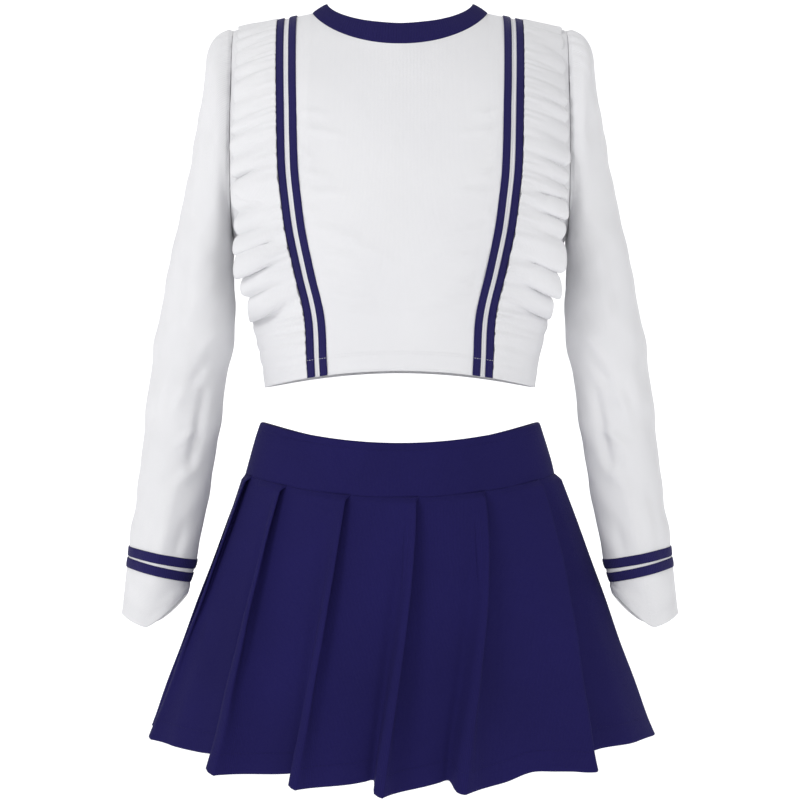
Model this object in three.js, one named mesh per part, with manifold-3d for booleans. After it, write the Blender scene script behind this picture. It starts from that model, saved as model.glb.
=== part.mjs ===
// Two-piece cheer uniform, shown as it is worn: a cropped long-sleeved top with gathered ruffles and
// paired tapes, and a knife-pleated skirt with a fitted waistband and a centre-back zip.
// Millimetres, +Z up, the wearer faces -Y and the wearer's left is +X.
// The origin is the centre of the skirt's waist opening, level with the waistband's top edge at the sides.
import * as THREE from "three";

// ---- driving dimensions: cloth ----
const CLOTH = 1.2; // double-knit fabric
const TAPE_CLOTH = 0.9; // woven trim tape
const SEAM_GAP = 0.4; // clear space between pieces that are sewn edge to edge
const LAY_GAP = 0.35; // clear space between a piece and the one it lies on

// ---- driving dimensions: top ----
const HEM_SIDE_Z = 35; // hem height at the side seams
const HEM_RISE = 15; // how much higher the hem is at the centre
const HEM_HALF_WIDTH = 133;
const WAIST_HALF_WIDTH = 147;
const WAIST_Z = 102;
const UNDERARM_Z = 184; // lowest point of the armhole
const ARMHOLE_X = 166; // the armhole lies in this upright plane
const SHOULDER_Z = 391; // shoulder point, at the armhole
const SHOULDER_HALF_WIDTH = 185; // half width of the body form under the sleeve heads
const NECK_HALF_WIDTH = 87; // neckline, where the neck band is sewn on
const NECK_POINT_Z = 408; // shoulder seam at the neckline
const FRONT_NECK_DROP = 42;
const BACK_NECK_DROP = 21;
const NECK_BAND_WIDTH = 23;
const NECK_BAND_LEAN = 0.62; // share of the band's width that goes in towards the neck
const NECK_BAND_CLOTH = 1.8;
const NECK_SEAM_GAP = 1.3; // room for the curved neckline between the points of the two pieces
const SHOULDER_ROUND = 90; // height over which the shoulder rounds over
const BODY_FULLNESS = 2.3; // 2 is an ellipse seen from above, and more is squarer
// Half depths of the body in front of and behind the side seams, at these heights.
const DEPTH_HEIGHTS = [35, 110, 165, 230, 300, 367, 420];
const FRONT_DEPTHS = [97, 108, 119, 116, 104, 82, 78];
const BACK_DEPTHS = [89, 93, 98, 101, 99, 82, 74];

// ---- driving dimensions: tapes and ruffles on the top ----
const TAPE_WIDTH = 7.4;
const TAPE_SPACING = 4.8; // white gap between the two tapes of a pair
// Distance from the centre line to the inner edge of the inner tape.
const TAPE_HEIGHTS = [35, 62, 102, 142, 182, 222, 250, 300, 410];
const TAPE_INSETS = [69, 70, 72, 81, 90, 95, 97.5, 99.5, 102];
const RUFFLE_WIDTH = 52;
// The free edge goes no further out than this, at these heights.
const RUFFLE_HEIGHTS = [35, 96, 118, 165, 250, 391];
const RUFFLE_REACHES = [134, 144, 155, 157, 159, 159];
// The free edge stands this far in front of the side seam, where the body curves away behind it.
const HOLD_HEIGHTS = [96, 120, 230, 300];
const HOLD_DEPTHS = [0, 60, 60, 0];
const RUFFLE_THICK = 5; // space that the gathers take up at the free edge
const RUFFLE_STAND = 4; // how far the free edge stands off the body
const RUFFLE_ARMHOLE_GAP = 1.2; // so that a sleeve swings clear of it

// ---- driving dimensions: sleeves ----
// Each ring is a loop round the arm: its outer and its inner point as (x, z), its half depth, and
// its centre along Y. No ring reaches inside the armhole's plane, so that the sleeve can swing.
const SLEEVE_RINGS = [
  { outer: [188, 378], inner: [166.9, 172], depth: 58, y: 1 },
  { outer: [199, 322], inner: [167.2, 150], depth: 56, y: 2 },
  { outer: [209, 262], inner: [167.5, 125], depth: 52, y: 3 },
  { outer: [222, 200], inner: [167.8, 101], depth: 48, y: 3 },
  { outer: [236, 130], inner: [168.8, 74], depth: 44, y: 3 },
  { outer: [250, 45], inner: [175.5, 30], depth: 39, y: 0 },
  { outer: [256, -18], inner: [182.5, -24], depth: 36, y: -5 },
  { outer: [263, -78], inner: [193, -84], depth: 33, y: -12 },
  { outer: [269, -135], inner: [204, -143], depth: 31, y: -20 },
  { outer: [277.5, -199], inner: [216, -200], depth: 30, y: -28 },
];
const SLEEVE_SIDES = 20;
const SKIRT_CLEARANCE = 2; // the sleeves hang at least this far outside the skirt
const CUFF_TAPE_WIDTH = 9.5;
const CUFF_TAPE_GAP = 2.5; // between the two tapes
const CUFF_TAPE_INSET = 53; // from the cuff's edge to the lower tape

// ---- driving dimensions: skirt ----
const WAISTBAND_HEIGHT = 51;
const FRONT_DIP = 19; // how far the waistband dips at the centre front
const BACK_DIP = 25; // and at the centre back
const WAIST_HALF_X = 139;
const WAIST_HALF_Y = 95;
const BAND_FLARE_X = 0.29; // half width gained for each mm down the waistband
const SKIRT_FLARE_X = 0.356;
const FLARE_Y = 0.335; // half depth gained for each mm down waistband and skirt
const SKIRT_LENGTH = 267; // below the waistband
const PLEATS = 12;
const PLEAT_WAVE = 13; // height of the pleat waves at the hem
const PLEAT_LEAN = 0.14; // radians that the pleats drift round by the hem
const FACING_GAP = 0.3; // from the zip tape to the facing that covers it

// ---- driving dimensions: zip and hook ----
const ZIP_TOP = 12; // from the waistband's top edge to the top of the chain
const ZIP_LENGTH = 165;
const PLACKET_HALF_GAP = 5.6; // each back piece stops this far from the centre line
const CHAIN_GAP = 1.2; // between the two coils, where the slider's post runs
const ZIP_SEAT = 0.8; // from the curved cloth to the flat zip tape under it
const COIL_WIDTH = 2.3;
const COIL_THICK = 1.5;
const ZIP_TAPE_WIDTH = 12;
const ZIP_TAPE_THICK = 0.6;
const STOP_LENGTH = 3;
// From the waistband's outer face to the facing inside it, with the zip tape between them.
const FACING_SPACE = CLOTH + ZIP_SEAT + ZIP_TAPE_THICK + FACING_GAP;
const SLIDER = { width: 9, lowerWidth: 7, length: 13, plate: 1.2, post: 0.6, postLength: 4 };
const BAIL = { width: 1.6, reach: 6, bar: 0.8, rise: 2 };
const PULL = { width: 5.2, length: 24, bar: 1.2, eye: 3.6, wall: 1.2 };
const HOOK = { width: 12, height: 7, thick: 0.8 };

// ---- small helpers ----
const QUARTER = Math.PI / 2;
const clamp01 = (t) => Math.min(1, Math.max(0, t));
const mix = (a, b, t) => a + (b - a) * t;
const smooth = (t) => clamp01(t) ** 2 * (3 - 2 * clamp01(t));

// A smooth curve through the values given at rising heights.
function through(heights, values) {
  const slopes = values.map((value, i) => {
    if (i === 0 || i === values.length - 1) return 0;
    return (values[i + 1] - values[i - 1]) / (heights[i + 1] - heights[i - 1]);
  });
  return (z) => {
    if (z <= heights[0]) return values[0];
    if (z >= heights.at(-1)) return values.at(-1);
    const i = heights.findIndex((h) => h > z) - 1;
    const span = heights[i + 1] - heights[i];
    const t = (z - heights[i]) / span;
    const [t2, t3] = [t * t, t * t * t];
    return (2 * t3 - 3 * t2 + 1) * values[i] + (t3 - 2 * t2 + t) * span * slopes[i]
      + (3 * t2 - 2 * t3) * values[i + 1] + (t3 - t2) * span * slopes[i + 1];
  };
}

// The outward normal of surface(u, v), where u runs anticlockwise seen from above and v runs upwards.
function normalOf(surface, u, v) {
  const step = 1e-4;
  const across = surface(u + step, v).sub(surface(u - step, v));
  const along = surface(u, v + step).sub(surface(u, v - step));
  return across.cross(along).normalize();
}

// A closed sheet of cloth: surface(u, v) is its outer face, and the cloth goes inwards from it.
// With ring set, u = 0 and u = 1 are the same line and the sheet is a tube.
// limit moves any point that would reach past a plane back onto it. The way in is taken from the
// normals of inwards, which is the surface itself unless another is given.
function sheet(surface, columns, rows, thickness, options = {}) {
  const { ring = false, from = [0, 0], to = [1, 1], inwards = surface, limit = () => {} } = options;
  const points = [];
  const wide = ring ? columns : columns + 1;
  for (const layer of [0, 1]) {
    for (let j = 0; j <= rows; j += 1) {
      for (let i = 0; i < wide; i += 1) {
        const u = mix(from[0], to[0], i / columns);
        const v = mix(from[1], to[1], j / rows);
        const depth = typeof thickness === "function" ? thickness(u, v) : thickness;
        const point = surface(u, v).addScaledVector(normalOf(inwards, u, v), -layer * depth);
        limit(point);
        points.push(point);
      }
    }
  }
  const at = (layer, i, j) => layer * wide * (rows + 1) + j * wide + (i % wide);
  const faces = [];
  const quad = (a, b, c, d) => faces.push(a, b, c, a, c, d);
  for (let i = 0; i < columns; i += 1) {
    for (let j = 0; j < rows; j += 1) {
      quad(at(0, i, j), at(0, i + 1, j), at(0, i + 1, j + 1), at(0, i, j + 1));
      quad(at(1, i, j), at(1, i, j + 1), at(1, i + 1, j + 1), at(1, i + 1, j));
    }
    quad(at(0, i, 0), at(1, i, 0), at(1, i + 1, 0), at(0, i + 1, 0));
    quad(at(0, i, rows), at(0, i + 1, rows), at(1, i + 1, rows), at(1, i, rows));
  }
  for (let j = 0; j < rows && !ring; j += 1) {
    quad(at(0, 0, j), at(0, 0, j + 1), at(1, 0, j + 1), at(1, 0, j));
    quad(at(0, columns, j), at(1, columns, j), at(1, columns, j + 1), at(0, columns, j + 1));
  }
  const geometry = new THREE.BufferGeometry().setFromPoints(points).setIndex(faces);
  geometry.computeVertexNormals();
  return geometry;
}

function finish(color, roughness, metalness) {
  return new THREE.MeshStandardMaterial({ color, roughness, metalness });
}
const WHITE_KNIT = finish(0xe9e9ee, 0.85, 0);
const NAVY_KNIT = finish(0x232052, 0.8, 0);
const NAVY_TAPE = finish(0x2a2460, 0.7, 0);
const NAVY_RIB = finish(0x241f57, 0.85, 0);
const NAVY_COIL = finish(0x1d1a45, 0.4, 0);
const PAINTED_METAL = finish(0x232052, 0.35, 0.3);
const BRIGHT_METAL = finish(0xc8c8cc, 0.3, 1);

const uniform = new THREE.Group();
function add(name, geometry, material, parent = uniform) {
  const mesh = new THREE.Mesh(geometry, material);
  mesh.name = name;
  parent.add(mesh);
  return mesh;
}

// The wearer's left piece and its mirror image on the right.
function addPair(name, geometry, material) {
  add(`left_${name}`, geometry, material);
  add(`right_${name}`, geometry, material).scale.x = -1;
}

// ---- the body form that the top is cut to ----
const halfWidthAt = through(
  [HEM_SIDE_Z, WAIST_Z, UNDERARM_Z - 28, UNDERARM_Z, UNDERARM_Z + 60, SHOULDER_Z],
  [HEM_HALF_WIDTH, WAIST_HALF_WIDTH, ARMHOLE_X - 13, ARMHOLE_X, SHOULDER_HALF_WIDTH, SHOULDER_HALF_WIDTH],
);
const frontDepthAt = through(DEPTH_HEIGHTS, FRONT_DEPTHS);
const backDepthAt = through(DEPTH_HEIGHTS, BACK_DEPTHS);
const tapeInsetAt = through(TAPE_HEIGHTS, TAPE_INSETS);
const ruffleReachAt = through(RUFFLE_HEIGHTS, RUFFLE_REACHES);
const ruffleHoldAt = through(HOLD_HEIGHTS, HOLD_DEPTHS);
const SHOULDER_SLOPE = (NECK_POINT_Z - SHOULDER_Z) / (ARMHOLE_X - NECK_HALF_WIDTH);

const hemZ = (x) => HEM_SIDE_Z + HEM_RISE * (1 - (x / HEM_HALF_WIDTH) ** 2);
const ridgeZ = (x) => SHOULDER_Z + SHOULDER_SLOPE * (ARMHOLE_X - Math.abs(x));

// How far the body reaches from the side-seam plane at (x, z); front is -1 and back is 1.
function bodyDepth(x, z, side) {
  const depth = side < 0 ? frontDepthAt(z) : backDepthAt(z);
  const across = Math.sqrt(Math.max(0, 1 - Math.min(1, Math.abs(x) / halfWidthAt(z)) ** BODY_FULLNESS));
  const under = clamp01((ridgeZ(x) - z) / SHOULDER_ROUND);
  return depth * across * Math.sqrt(1 - (1 - under) ** 2);
}

// The neckline's height at x, on the front or the back.
function neckZ(x, side) {
  const drop = side < 0 ? FRONT_NECK_DROP : BACK_NECK_DROP;
  const across = Math.sqrt(Math.max(0, 1 - (x / NECK_HALF_WIDTH) ** 2));
  return NECK_POINT_Z - drop * across ** 1.3;
}

const topEdgeZ = (x, side) => (Math.abs(x) < NECK_HALF_WIDTH ? neckZ(x, side) : ridgeZ(x));

// A point on the body: rise goes from 0 at the hem to 1 at the top edge.
function bodyPoint(xAt, rise, side) {
  const share = Math.sin(rise * QUARTER);
  let z = mix(HEM_SIDE_Z, SHOULDER_Z, share);
  let x = xAt(z);
  // The width depends on the height and the height on the width: a few passes settle both.
  for (let pass = 0; pass < 6; pass += 1) {
    z = mix(hemZ(x), topEdgeZ(x, side), share);
    x = xAt(z);
  }
  return new THREE.Vector3(x, side * bodyDepth(x, z, side), z);
}

// ---- top: panels ----
const PAIR_WIDTH = 2 * TAPE_WIDTH + TAPE_SPACING;
const seamAt = (z) => tapeInsetAt(z) + PAIR_WIDTH / 2; // the panels meet under the tapes
const sideEdgeAt = (z) => Math.min(halfWidthAt(z), ARMHOLE_X);
const RIDGE_STOP = 0.999; // stops a panel just short of the shoulder seam
const SIDE_STOP = 0.997; // and just short of the side seam
const PANEL_ROWS = 13; // tapes and ruffles share the panels' rows, so that they lie on them
const insideArmhole = (gap) => (point) => {
  point.x = Math.min(point.x, ARMHOLE_X - gap);
};

function centrePanel(side) {
  const surface = (u, v) => bodyPoint((z) => -side * (2 * u - 1) * (seamAt(z) - SEAM_GAP / 2), v, side);
  return sheet(surface, 20, PANEL_ROWS, CLOTH, { to: [1, RIDGE_STOP] });
}

// The wearer's left side panel, from the tape seam round to the side seam or the armhole.
function sidePanel(side) {
  const surface = (u, v) => {
    const out = Math.sin((side < 0 ? u : 1 - u) * QUARTER);
    return bodyPoint((z) => mix(seamAt(z) + SEAM_GAP / 2, sideEdgeAt(z), out), v, side);
  };
  const from = [side < 0 ? 0 : 1 - SIDE_STOP, 0];
  const to = [side < 0 ? SIDE_STOP : 1, RIDGE_STOP];
  return sheet(surface, 7, PANEL_ROWS, CLOTH, { from, to, limit: insideArmhole(0) });
}

add("front_centre_panel", centrePanel(-1), WHITE_KNIT);
add("back_centre_panel", centrePanel(1), WHITE_KNIT);
addPair("front_side_panel", sidePanel(-1), WHITE_KNIT);
addPair("back_side_panel", sidePanel(1), WHITE_KNIT);

// ---- top: tapes and ruffles, which run from the front hem over the shoulder to the back hem ----
// along goes from 0 at the front hem through 1 at the shoulder to 2 at the back hem.
const overShoulder = (xAt, along) => bodyPoint(xAt, along < 1 ? along : 2 - along, along < 1 ? -1 : 1);

// Lifts a surface off itself by a distance along its own normals.
const lifted = (surface, lift) => (u, v) => surface(u, v).addScaledVector(normalOf(surface, u, v), lift);

function bodyTape(inset) {
  const surface = (u, v) => overShoulder((z) => tapeInsetAt(z) + inset + TAPE_WIDTH * u, 2 * v);
  return sheet(lifted(surface, LAY_GAP + TAPE_CLOTH), 1, 2 * PANEL_ROWS, TAPE_CLOTH);
}

addPair("inner_tape", bodyTape(0), NAVY_TAPE);
addPair("outer_tape", bodyTape(TAPE_WIDTH + TAPE_SPACING), NAVY_TAPE);

function ruffle() {
  const startAt = (z) => tapeInsetAt(z) + PAIR_WIDTH + SEAM_GAP;
  const edgeAt = (z) => Math.min(startAt(z) + RUFFLE_WIDTH, ruffleReachAt(z));
  const base = (u, v) => {
    const seam = overShoulder(startAt, 2 * v);
    const point = overShoulder((z) => mix(startAt(z), edgeAt(z), u), 2 * v);
    const held = mix(Math.abs(seam.y), ruffleHoldAt(point.z), u);
    point.y = Math.max(Math.abs(point.y), held) * (v < 0.5 ? -1 : 1);
    return point;
  };
  const thickness = (u) => CLOTH + (RUFFLE_THICK - CLOTH) * smooth(u);
  const outer = (u, v) => {
    const up = LAY_GAP + CLOTH + (RUFFLE_STAND + RUFFLE_THICK - CLOTH) * smooth(u);
    return base(u, v).addScaledVector(normalOf(base, u, v), up);
  };
  const limit = insideArmhole(RUFFLE_ARMHOLE_GAP);
  return sheet(outer, 4, 2 * PANEL_ROWS, thickness, { inwards: base, limit });
}

addPair("ruffle", ruffle(), WHITE_KNIT);

// ---- top: neck band ----
function neckBand() {
  const up = Math.sqrt(1 - NECK_BAND_LEAN ** 2);
  const surface = (u, v) => {
    const angle = 2 * Math.PI * u;
    const side = Math.sin(angle) < 0 ? -1 : 1;
    const x = Math.cos(angle) * NECK_HALF_WIDTH;
    const z = neckZ(x, side);
    const inward = new THREE.Vector3(-Math.cos(angle), -Math.sin(angle), 0);
    return new THREE.Vector3(x, side * bodyDepth(x, z, side), z + NECK_SEAM_GAP + NECK_BAND_WIDTH * up * v)
      .addScaledVector(inward, NECK_BAND_WIDTH * NECK_BAND_LEAN * v);
  };
  return sheet(surface, 36, 2, NECK_BAND_CLOTH, { ring: true });
}

add("neck_band", neckBand(), NAVY_RIB);

// ---- sleeves ----
// The armhole as a loop: a quarter turn is the shoulder point, and three quarters the underarm.
function armhole(angle) {
  const z = mix(UNDERARM_Z, SHOULDER_Z, (1 + Math.sin(angle)) / 2);
  const side = Math.cos(angle) < 0 ? 1 : -1;
  return new THREE.Vector3(ARMHOLE_X + SEAM_GAP, side * bodyDepth(ARMHOLE_X, z, side), z);
}

// How far out the skirt and its pleats reach at a height, along X.
function skirtReach(z) {
  const below = clamp01((-z - WAISTBAND_HEIGHT) / SKIRT_LENGTH);
  const bandHalf = WAIST_HALF_X + BAND_FLARE_X * WAISTBAND_HEIGHT;
  return bandHalf + (SKIRT_FLARE_X * SKIRT_LENGTH + PLEAT_WAVE) * below;
}

function ringPoint(ring, angle) {
  const out = (1 + Math.sin(angle)) / 2;
  const [innerX, innerZ] = ring.inner;
  const aside = innerZ < 0 ? Math.max(0, skirtReach(innerZ) + SKIRT_CLEARANCE - innerX) : 0;
  const x = mix(ring.inner[0], ring.outer[0], out) + aside;
  const z = mix(ring.inner[1], ring.outer[1], out);
  return new THREE.Vector3(x, ring.y - ring.depth * Math.cos(angle), z);
}

// The wearer's left sleeve: v is 0 at the cuff's edge and 1 at the armhole.
function sleeveSurface(u, v) {
  const angle = 2 * Math.PI * u;
  const points = SLEEVE_RINGS.map((ring) => ringPoint(ring, angle)).reverse();
  const curve = new THREE.CatmullRomCurve3([...points, armhole(angle)], false, "centripetal");
  const end = clamp01(v);
  if (end === v) return curve.getPoint(v);
  const past = (v - end) * curve.getLength();
  return curve.getPoint(end).addScaledVector(curve.getTangent(end), past);
}

const outsideArmhole = (point) => {
  point.x = Math.max(point.x, ARMHOLE_X + SEAM_GAP);
};
const tube = { ring: true, limit: outsideArmhole };
const sleeve = sheet(sleeveSurface, SLEEVE_SIDES, SLEEVE_RINGS.length, CLOTH, tube);
addPair("sleeve", sleeve, WHITE_KNIT);

// How far up the sleeve a distance above the cuff's edge is, within the last ring.
const lastSpan = SLEEVE_RINGS.at(-2).outer[1] - SLEEVE_RINGS.at(-1).outer[1];
const upSleeve = (distance) => distance / lastSpan / SLEEVE_RINGS.length;

const cuffTape = (low) => {
  const on = lifted(sleeveSurface, LAY_GAP + TAPE_CLOTH);
  const span = { from: [0, upSleeve(low)], to: [1, upSleeve(low + CUFF_TAPE_WIDTH)] };
  return sheet(on, SLEEVE_SIDES, 1, TAPE_CLOTH, { ring: true, ...span });
};
addPair("lower_cuff_tape", cuffTape(CUFF_TAPE_INSET), NAVY_TAPE);
addPair("upper_cuff_tape", cuffTape(CUFF_TAPE_INSET + CUFF_TAPE_WIDTH + CUFF_TAPE_GAP), NAVY_TAPE);

// ---- skirt ----
const dip = (angle) => (Math.sin(angle) < 0 ? FRONT_DIP : BACK_DIP) * Math.sin(angle) ** 2;

// A point of the skirt's outer face at an angle round it, a distance down from the waistband's top edge.
function skirtPoint(angle, down, inset = 0) {
  const below = Math.max(0, down - WAISTBAND_HEIGHT);
  const flare = BAND_FLARE_X * Math.min(down, WAISTBAND_HEIGHT) + SKIRT_FLARE_X * below;
  const halfX = WAIST_HALF_X + flare - inset;
  const halfY = WAIST_HALF_Y + FLARE_Y * down - inset;
  return new THREE.Vector3(halfX * Math.cos(angle), halfY * Math.sin(angle), -down - dip(angle));
}

const FLAT_BESIDE_ZIP = 0.12; // radians each side of the centre back with no pleat
const PLEAT_GROWTH = 0.3; // radians over which the pleats then grow

// The pleats as waves that start at the waistband and grow to the hem; they lie flat beside the zip.
function pleatWave(angle, down) {
  const share = clamp01((down - WAISTBAND_HEIGHT) / SKIRT_LENGTH);
  const fromZip = Math.abs(angle - QUARTER);
  const calm = smooth((fromZip - FLAT_BESIDE_ZIP) / PLEAT_GROWTH);
  return PLEAT_WAVE * share * calm * Math.cos(PLEATS * (angle + PLEAT_LEAN * share));
}

const ZIP_END = ZIP_TOP + ZIP_LENGTH;
const SIDE_SEAM_GAP = 0.0015; // radians, at each side seam
const PLACKET_RUN_ON = 4; // the placket stays open this far below the zip
const PLACKET_CLOSING = 14; // and closes over this length
const FACING_DROP = 1.5; // the facing starts this far below the waistband's top edge
const BAND_COLUMNS = 24;
const SKIRT_COLUMNS = 42;
// Where a back piece stops beside the centre line: wide along the zip, closed below it.
const plackAt = (down) => {
  const closed = smooth((down - ZIP_END - PLACKET_RUN_ON) / PLACKET_CLOSING);
  return mix(PLACKET_HALF_GAP, SEAM_GAP, closed);
};
const placketAngle = (down) => plackAt(down) / (WAIST_HALF_X + SKIRT_FLARE_X * down);

// A band of the skirt between two distances down. part is front, left (wearer's) or right.
function skirtBand(part, top, bottom, { inset = 0, waves = false, thickness = CLOTH, columns, rows }) {
  const surface = (u, v) => {
    const down = mix(bottom, top, v);
    const gap = placketAngle(down);
    const spans = {
      front: [-Math.PI + SIDE_SEAM_GAP, -SIDE_SEAM_GAP],
      left: [SIDE_SEAM_GAP, QUARTER - gap],
      right: [QUARTER + gap, Math.PI - SIDE_SEAM_GAP],
    };
    const angle = mix(...spans[part], u);
    const wave = waves ? pleatWave(angle, down) : 0;
    return skirtPoint(angle, down, inset - wave);
  };
  return sheet(surface, columns, rows, thickness);
}

const BAND_BOTTOM = WAISTBAND_HEIGHT - SEAM_GAP;
const SKIRT_BOTTOM = WAISTBAND_HEIGHT + SKIRT_LENGTH;
const SKIRT_PARTS = [["front", "front", 1], ["left", "back_left", 0.5], ["right", "back_right", 0.5]];
for (const [part, name, share] of SKIRT_PARTS) {
  const band = { columns: BAND_COLUMNS * share, rows: 1 };
  add(`waistband_${name}`, skirtBand(part, 0, BAND_BOTTOM, band), NAVY_KNIT);
  const facing = skirtBand(part, FACING_DROP, BAND_BOTTOM, { ...band, inset: FACING_SPACE });
  add(`waistband_facing_${name}`, facing, NAVY_KNIT);
  const cloth = { columns: SKIRT_COLUMNS * share, rows: 6, waves: true };
  add(`skirt_${name}`, skirtBand(part, WAISTBAND_HEIGHT, SKIRT_BOTTOM, cloth), NAVY_KNIT);
}

// ---- zip: its own frame lies on the centre back, with Z up along the slope and Y out of the cloth ----
const zip = new THREE.Group();
const clothInside = skirtPoint(QUARTER, ZIP_TOP);
zip.position.set(0, clothInside.y, clothInside.z);
zip.rotation.x = Math.atan(FLARE_Y);
uniform.add(zip);

function block(width, thick, height) {
  return new THREE.BoxGeometry(width, thick, height);
}

// Levels out of the cloth, from the outer face of the skirt.
const ZIP_TAPE_HIGH = -CLOTH - ZIP_SEAT;
const ZIP_TAPE_LOW = ZIP_TAPE_HIGH - ZIP_TAPE_THICK;
const COIL_LOW = ZIP_TAPE_HIGH + LAY_GAP;
const COIL_HIGH = COIL_LOW + COIL_THICK;
const COIL_X = (CHAIN_GAP + COIL_WIDTH) / 2;
const COIL_Y = (COIL_LOW + COIL_HIGH) / 2;
const TAPE_RUN_ON = 2; // the tape runs on past the stops
const TAPE_END = LAY_GAP + STOP_LENGTH + TAPE_RUN_ON;
for (const [name, sign] of [["left", 1], ["right", -1]]) {
  const coil = add(`zip_coil_${name}`, block(COIL_WIDTH, COIL_THICK, ZIP_LENGTH), NAVY_COIL, zip);
  coil.position.set(sign * COIL_X, COIL_Y, -ZIP_LENGTH / 2);
  const stop = block(COIL_WIDTH, COIL_THICK, STOP_LENGTH);
  const topStop = add(`zip_top_stop_${name}`, stop, BRIGHT_METAL, zip);
  topStop.position.set(sign * COIL_X, COIL_Y, LAY_GAP + STOP_LENGTH / 2);
  const tapeLength = ZIP_LENGTH + 2 * TAPE_END;
  const tape = add(`zip_tape_${name}`, block(ZIP_TAPE_WIDTH, ZIP_TAPE_THICK, tapeLength), NAVY_TAPE, zip);
  const tapeX = (CHAIN_GAP + ZIP_TAPE_WIDTH) / 2;
  tape.position.set(sign * tapeX, (ZIP_TAPE_LOW + ZIP_TAPE_HIGH) / 2, -ZIP_LENGTH / 2);
}

// The bottom stop is clamped over both coils at the end of the chain.
const stopWidth = CHAIN_GAP + 2 * COIL_WIDTH;
const bottomStop = add("zip_bottom_stop", block(stopWidth, COIL_THICK, STOP_LENGTH), BRIGHT_METAL, zip);
bottomStop.position.set(0, COIL_Y, -ZIP_LENGTH - LAY_GAP - STOP_LENGTH / 2);

// The slider is two plates joined by a thin post that runs between the coils, with a bail on top.
const TOP_PLATE_LOW = COIL_HIGH + LAY_GAP;
const TOP_PLATE_HIGH = TOP_PLATE_LOW + SLIDER.plate;
const LOW_PLATE_HIGH = ZIP_TAPE_LOW - LAY_GAP;
const LOW_PLATE_LOW = LOW_PLATE_HIGH - SLIDER.plate;

async function sliderGeometry() {
  const { default: Module } = await import("manifold-3d");
  const wasm = await Module();
  wasm.setup();
  const { mergeVertices } = await import("three/addons/utils/BufferGeometryUtils.js");
  const solid = (geometry, x, y, z) => {
    const moved = geometry.translate(x, y, z);
    moved.deleteAttribute("normal");
    moved.deleteAttribute("uv");
    const merged = mergeVertices(moved);
    return new wasm.Manifold(new wasm.Mesh({
      numProp: 3,
      vertProperties: merged.attributes.position.array,
      triVerts: new Uint32Array(merged.index.array),
    }));
  };
  const { width, lowerWidth, length, plate, post, postLength } = SLIDER;
  const half = -length / 2;
  const postHeight = TOP_PLATE_LOW - LOW_PLATE_HIGH + plate;
  const postMiddle = (TOP_PLATE_LOW + LOW_PLATE_HIGH) / 2;
  const bailHeight = BAIL.rise + BAIL.bar + plate / 2;
  const bailBottom = TOP_PLATE_HIGH - plate / 2;
  const whole = [
    solid(block(width, plate, length), 0, (TOP_PLATE_LOW + TOP_PLATE_HIGH) / 2, half),
    solid(block(lowerWidth, plate, length), 0, (LOW_PLATE_LOW + LOW_PLATE_HIGH) / 2, half),
    solid(block(post, postHeight, postLength), 0, postMiddle, -postLength / 2),
    solid(block(BAIL.width, bailHeight, BAIL.reach), 0, bailBottom + bailHeight / 2, half),
  ].reduce((all, piece) => all.add(piece));
  const opening = BAIL.reach - 2 * BAIL.bar;
  const under = solid(block(width, BAIL.rise, opening), 0, TOP_PLATE_HIGH + BAIL.rise / 2, half);
  const made = whole.subtract(under).getMesh();
  return new THREE.BufferGeometry()
    .setAttribute("position", new THREE.BufferAttribute(made.vertProperties, 3))
    .setIndex(new THREE.BufferAttribute(made.triVerts, 1));
}
add("zip_slider", await sliderGeometry(), PAINTED_METAL, zip);

// The pull hangs from the bail by its top bar; its eye leaves room for the bail's legs as it swings.
function pullGeometry() {
  const half = PULL.width / 2;
  const outline = new THREE.Shape();
  outline.moveTo(-half, PULL.bar / 2);
  outline.lineTo(-half, -PULL.length + half);
  outline.absarc(0, -PULL.length + half, half, Math.PI, 2 * Math.PI);
  outline.lineTo(half, PULL.bar / 2);
  const eyeHalf = half - PULL.wall;
  const eye = new THREE.Path();
  eye.moveTo(-eyeHalf, -PULL.bar / 2);
  eye.lineTo(eyeHalf, -PULL.bar / 2);
  eye.lineTo(eyeHalf, -PULL.bar / 2 - PULL.eye);
  eye.lineTo(-eyeHalf, -PULL.bar / 2 - PULL.eye);
  outline.holes.push(eye);
  const cut = { depth: PULL.bar, bevelEnabled: false, curveSegments: 8 };
  const plate = new THREE.ExtrudeGeometry(outline, cut);
  return plate.translate(0, 0, -PULL.bar / 2).rotateX(QUARTER);
}
const PULL_AXIS_Y = TOP_PLATE_HIGH + BAIL.rise / 2;
const PULL_AXIS_Z = -SLIDER.length / 2;
add("zip_pull", pullGeometry(), PAINTED_METAL, zip).position.set(0, PULL_AXIS_Y, PULL_AXIS_Z);

// ---- hook and bar above the zip, inside the waistband ----
const BAR_REACH = 3; // how far the bar reaches over the placket's gap
const HOOK_GRIP = 3; // and the hook past each edge of it
const HOOK_DROP = 2; // the hook's top edge is this far above the zip
const HOOK_LEVEL = -FACING_SPACE - CLOTH - ZIP_SEAT - HOOK.thick / 2;
const hookZ = ZIP_TOP - HOOK_DROP - HOOK.height / 2;
add("waist_bar", block(HOOK.width, HOOK.thick, HOOK.height), BRIGHT_METAL, zip)
  .position.set(-PLACKET_HALF_GAP - HOOK.width / 2 + BAR_REACH, HOOK_LEVEL, hookZ);
const hookWidth = 2 * (PLACKET_HALF_GAP + HOOK_GRIP);
add("waist_hook", block(hookWidth, HOOK.thick, HOOK.height - HOOK_DROP), BRIGHT_METAL, zip)
  .position.set(HOOK_GRIP, HOOK_LEVEL - HOOK.thick - LAY_GAP, hookZ);

export default uniform;
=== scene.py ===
# %% [markdown]
# # Cheer uniform: a cropped top and a pleated skirt
# The uniform is two garments shown as they are worn, with nobody in them. The top is white double knit
# with paired navy tapes, gathered ruffles and a navy rib neck band. The skirt is navy double knit.
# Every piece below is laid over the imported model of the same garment, which is loaded first. Lengths in
# this file are written in millimetres and become metres in one place, so that they read like a pattern.

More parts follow.
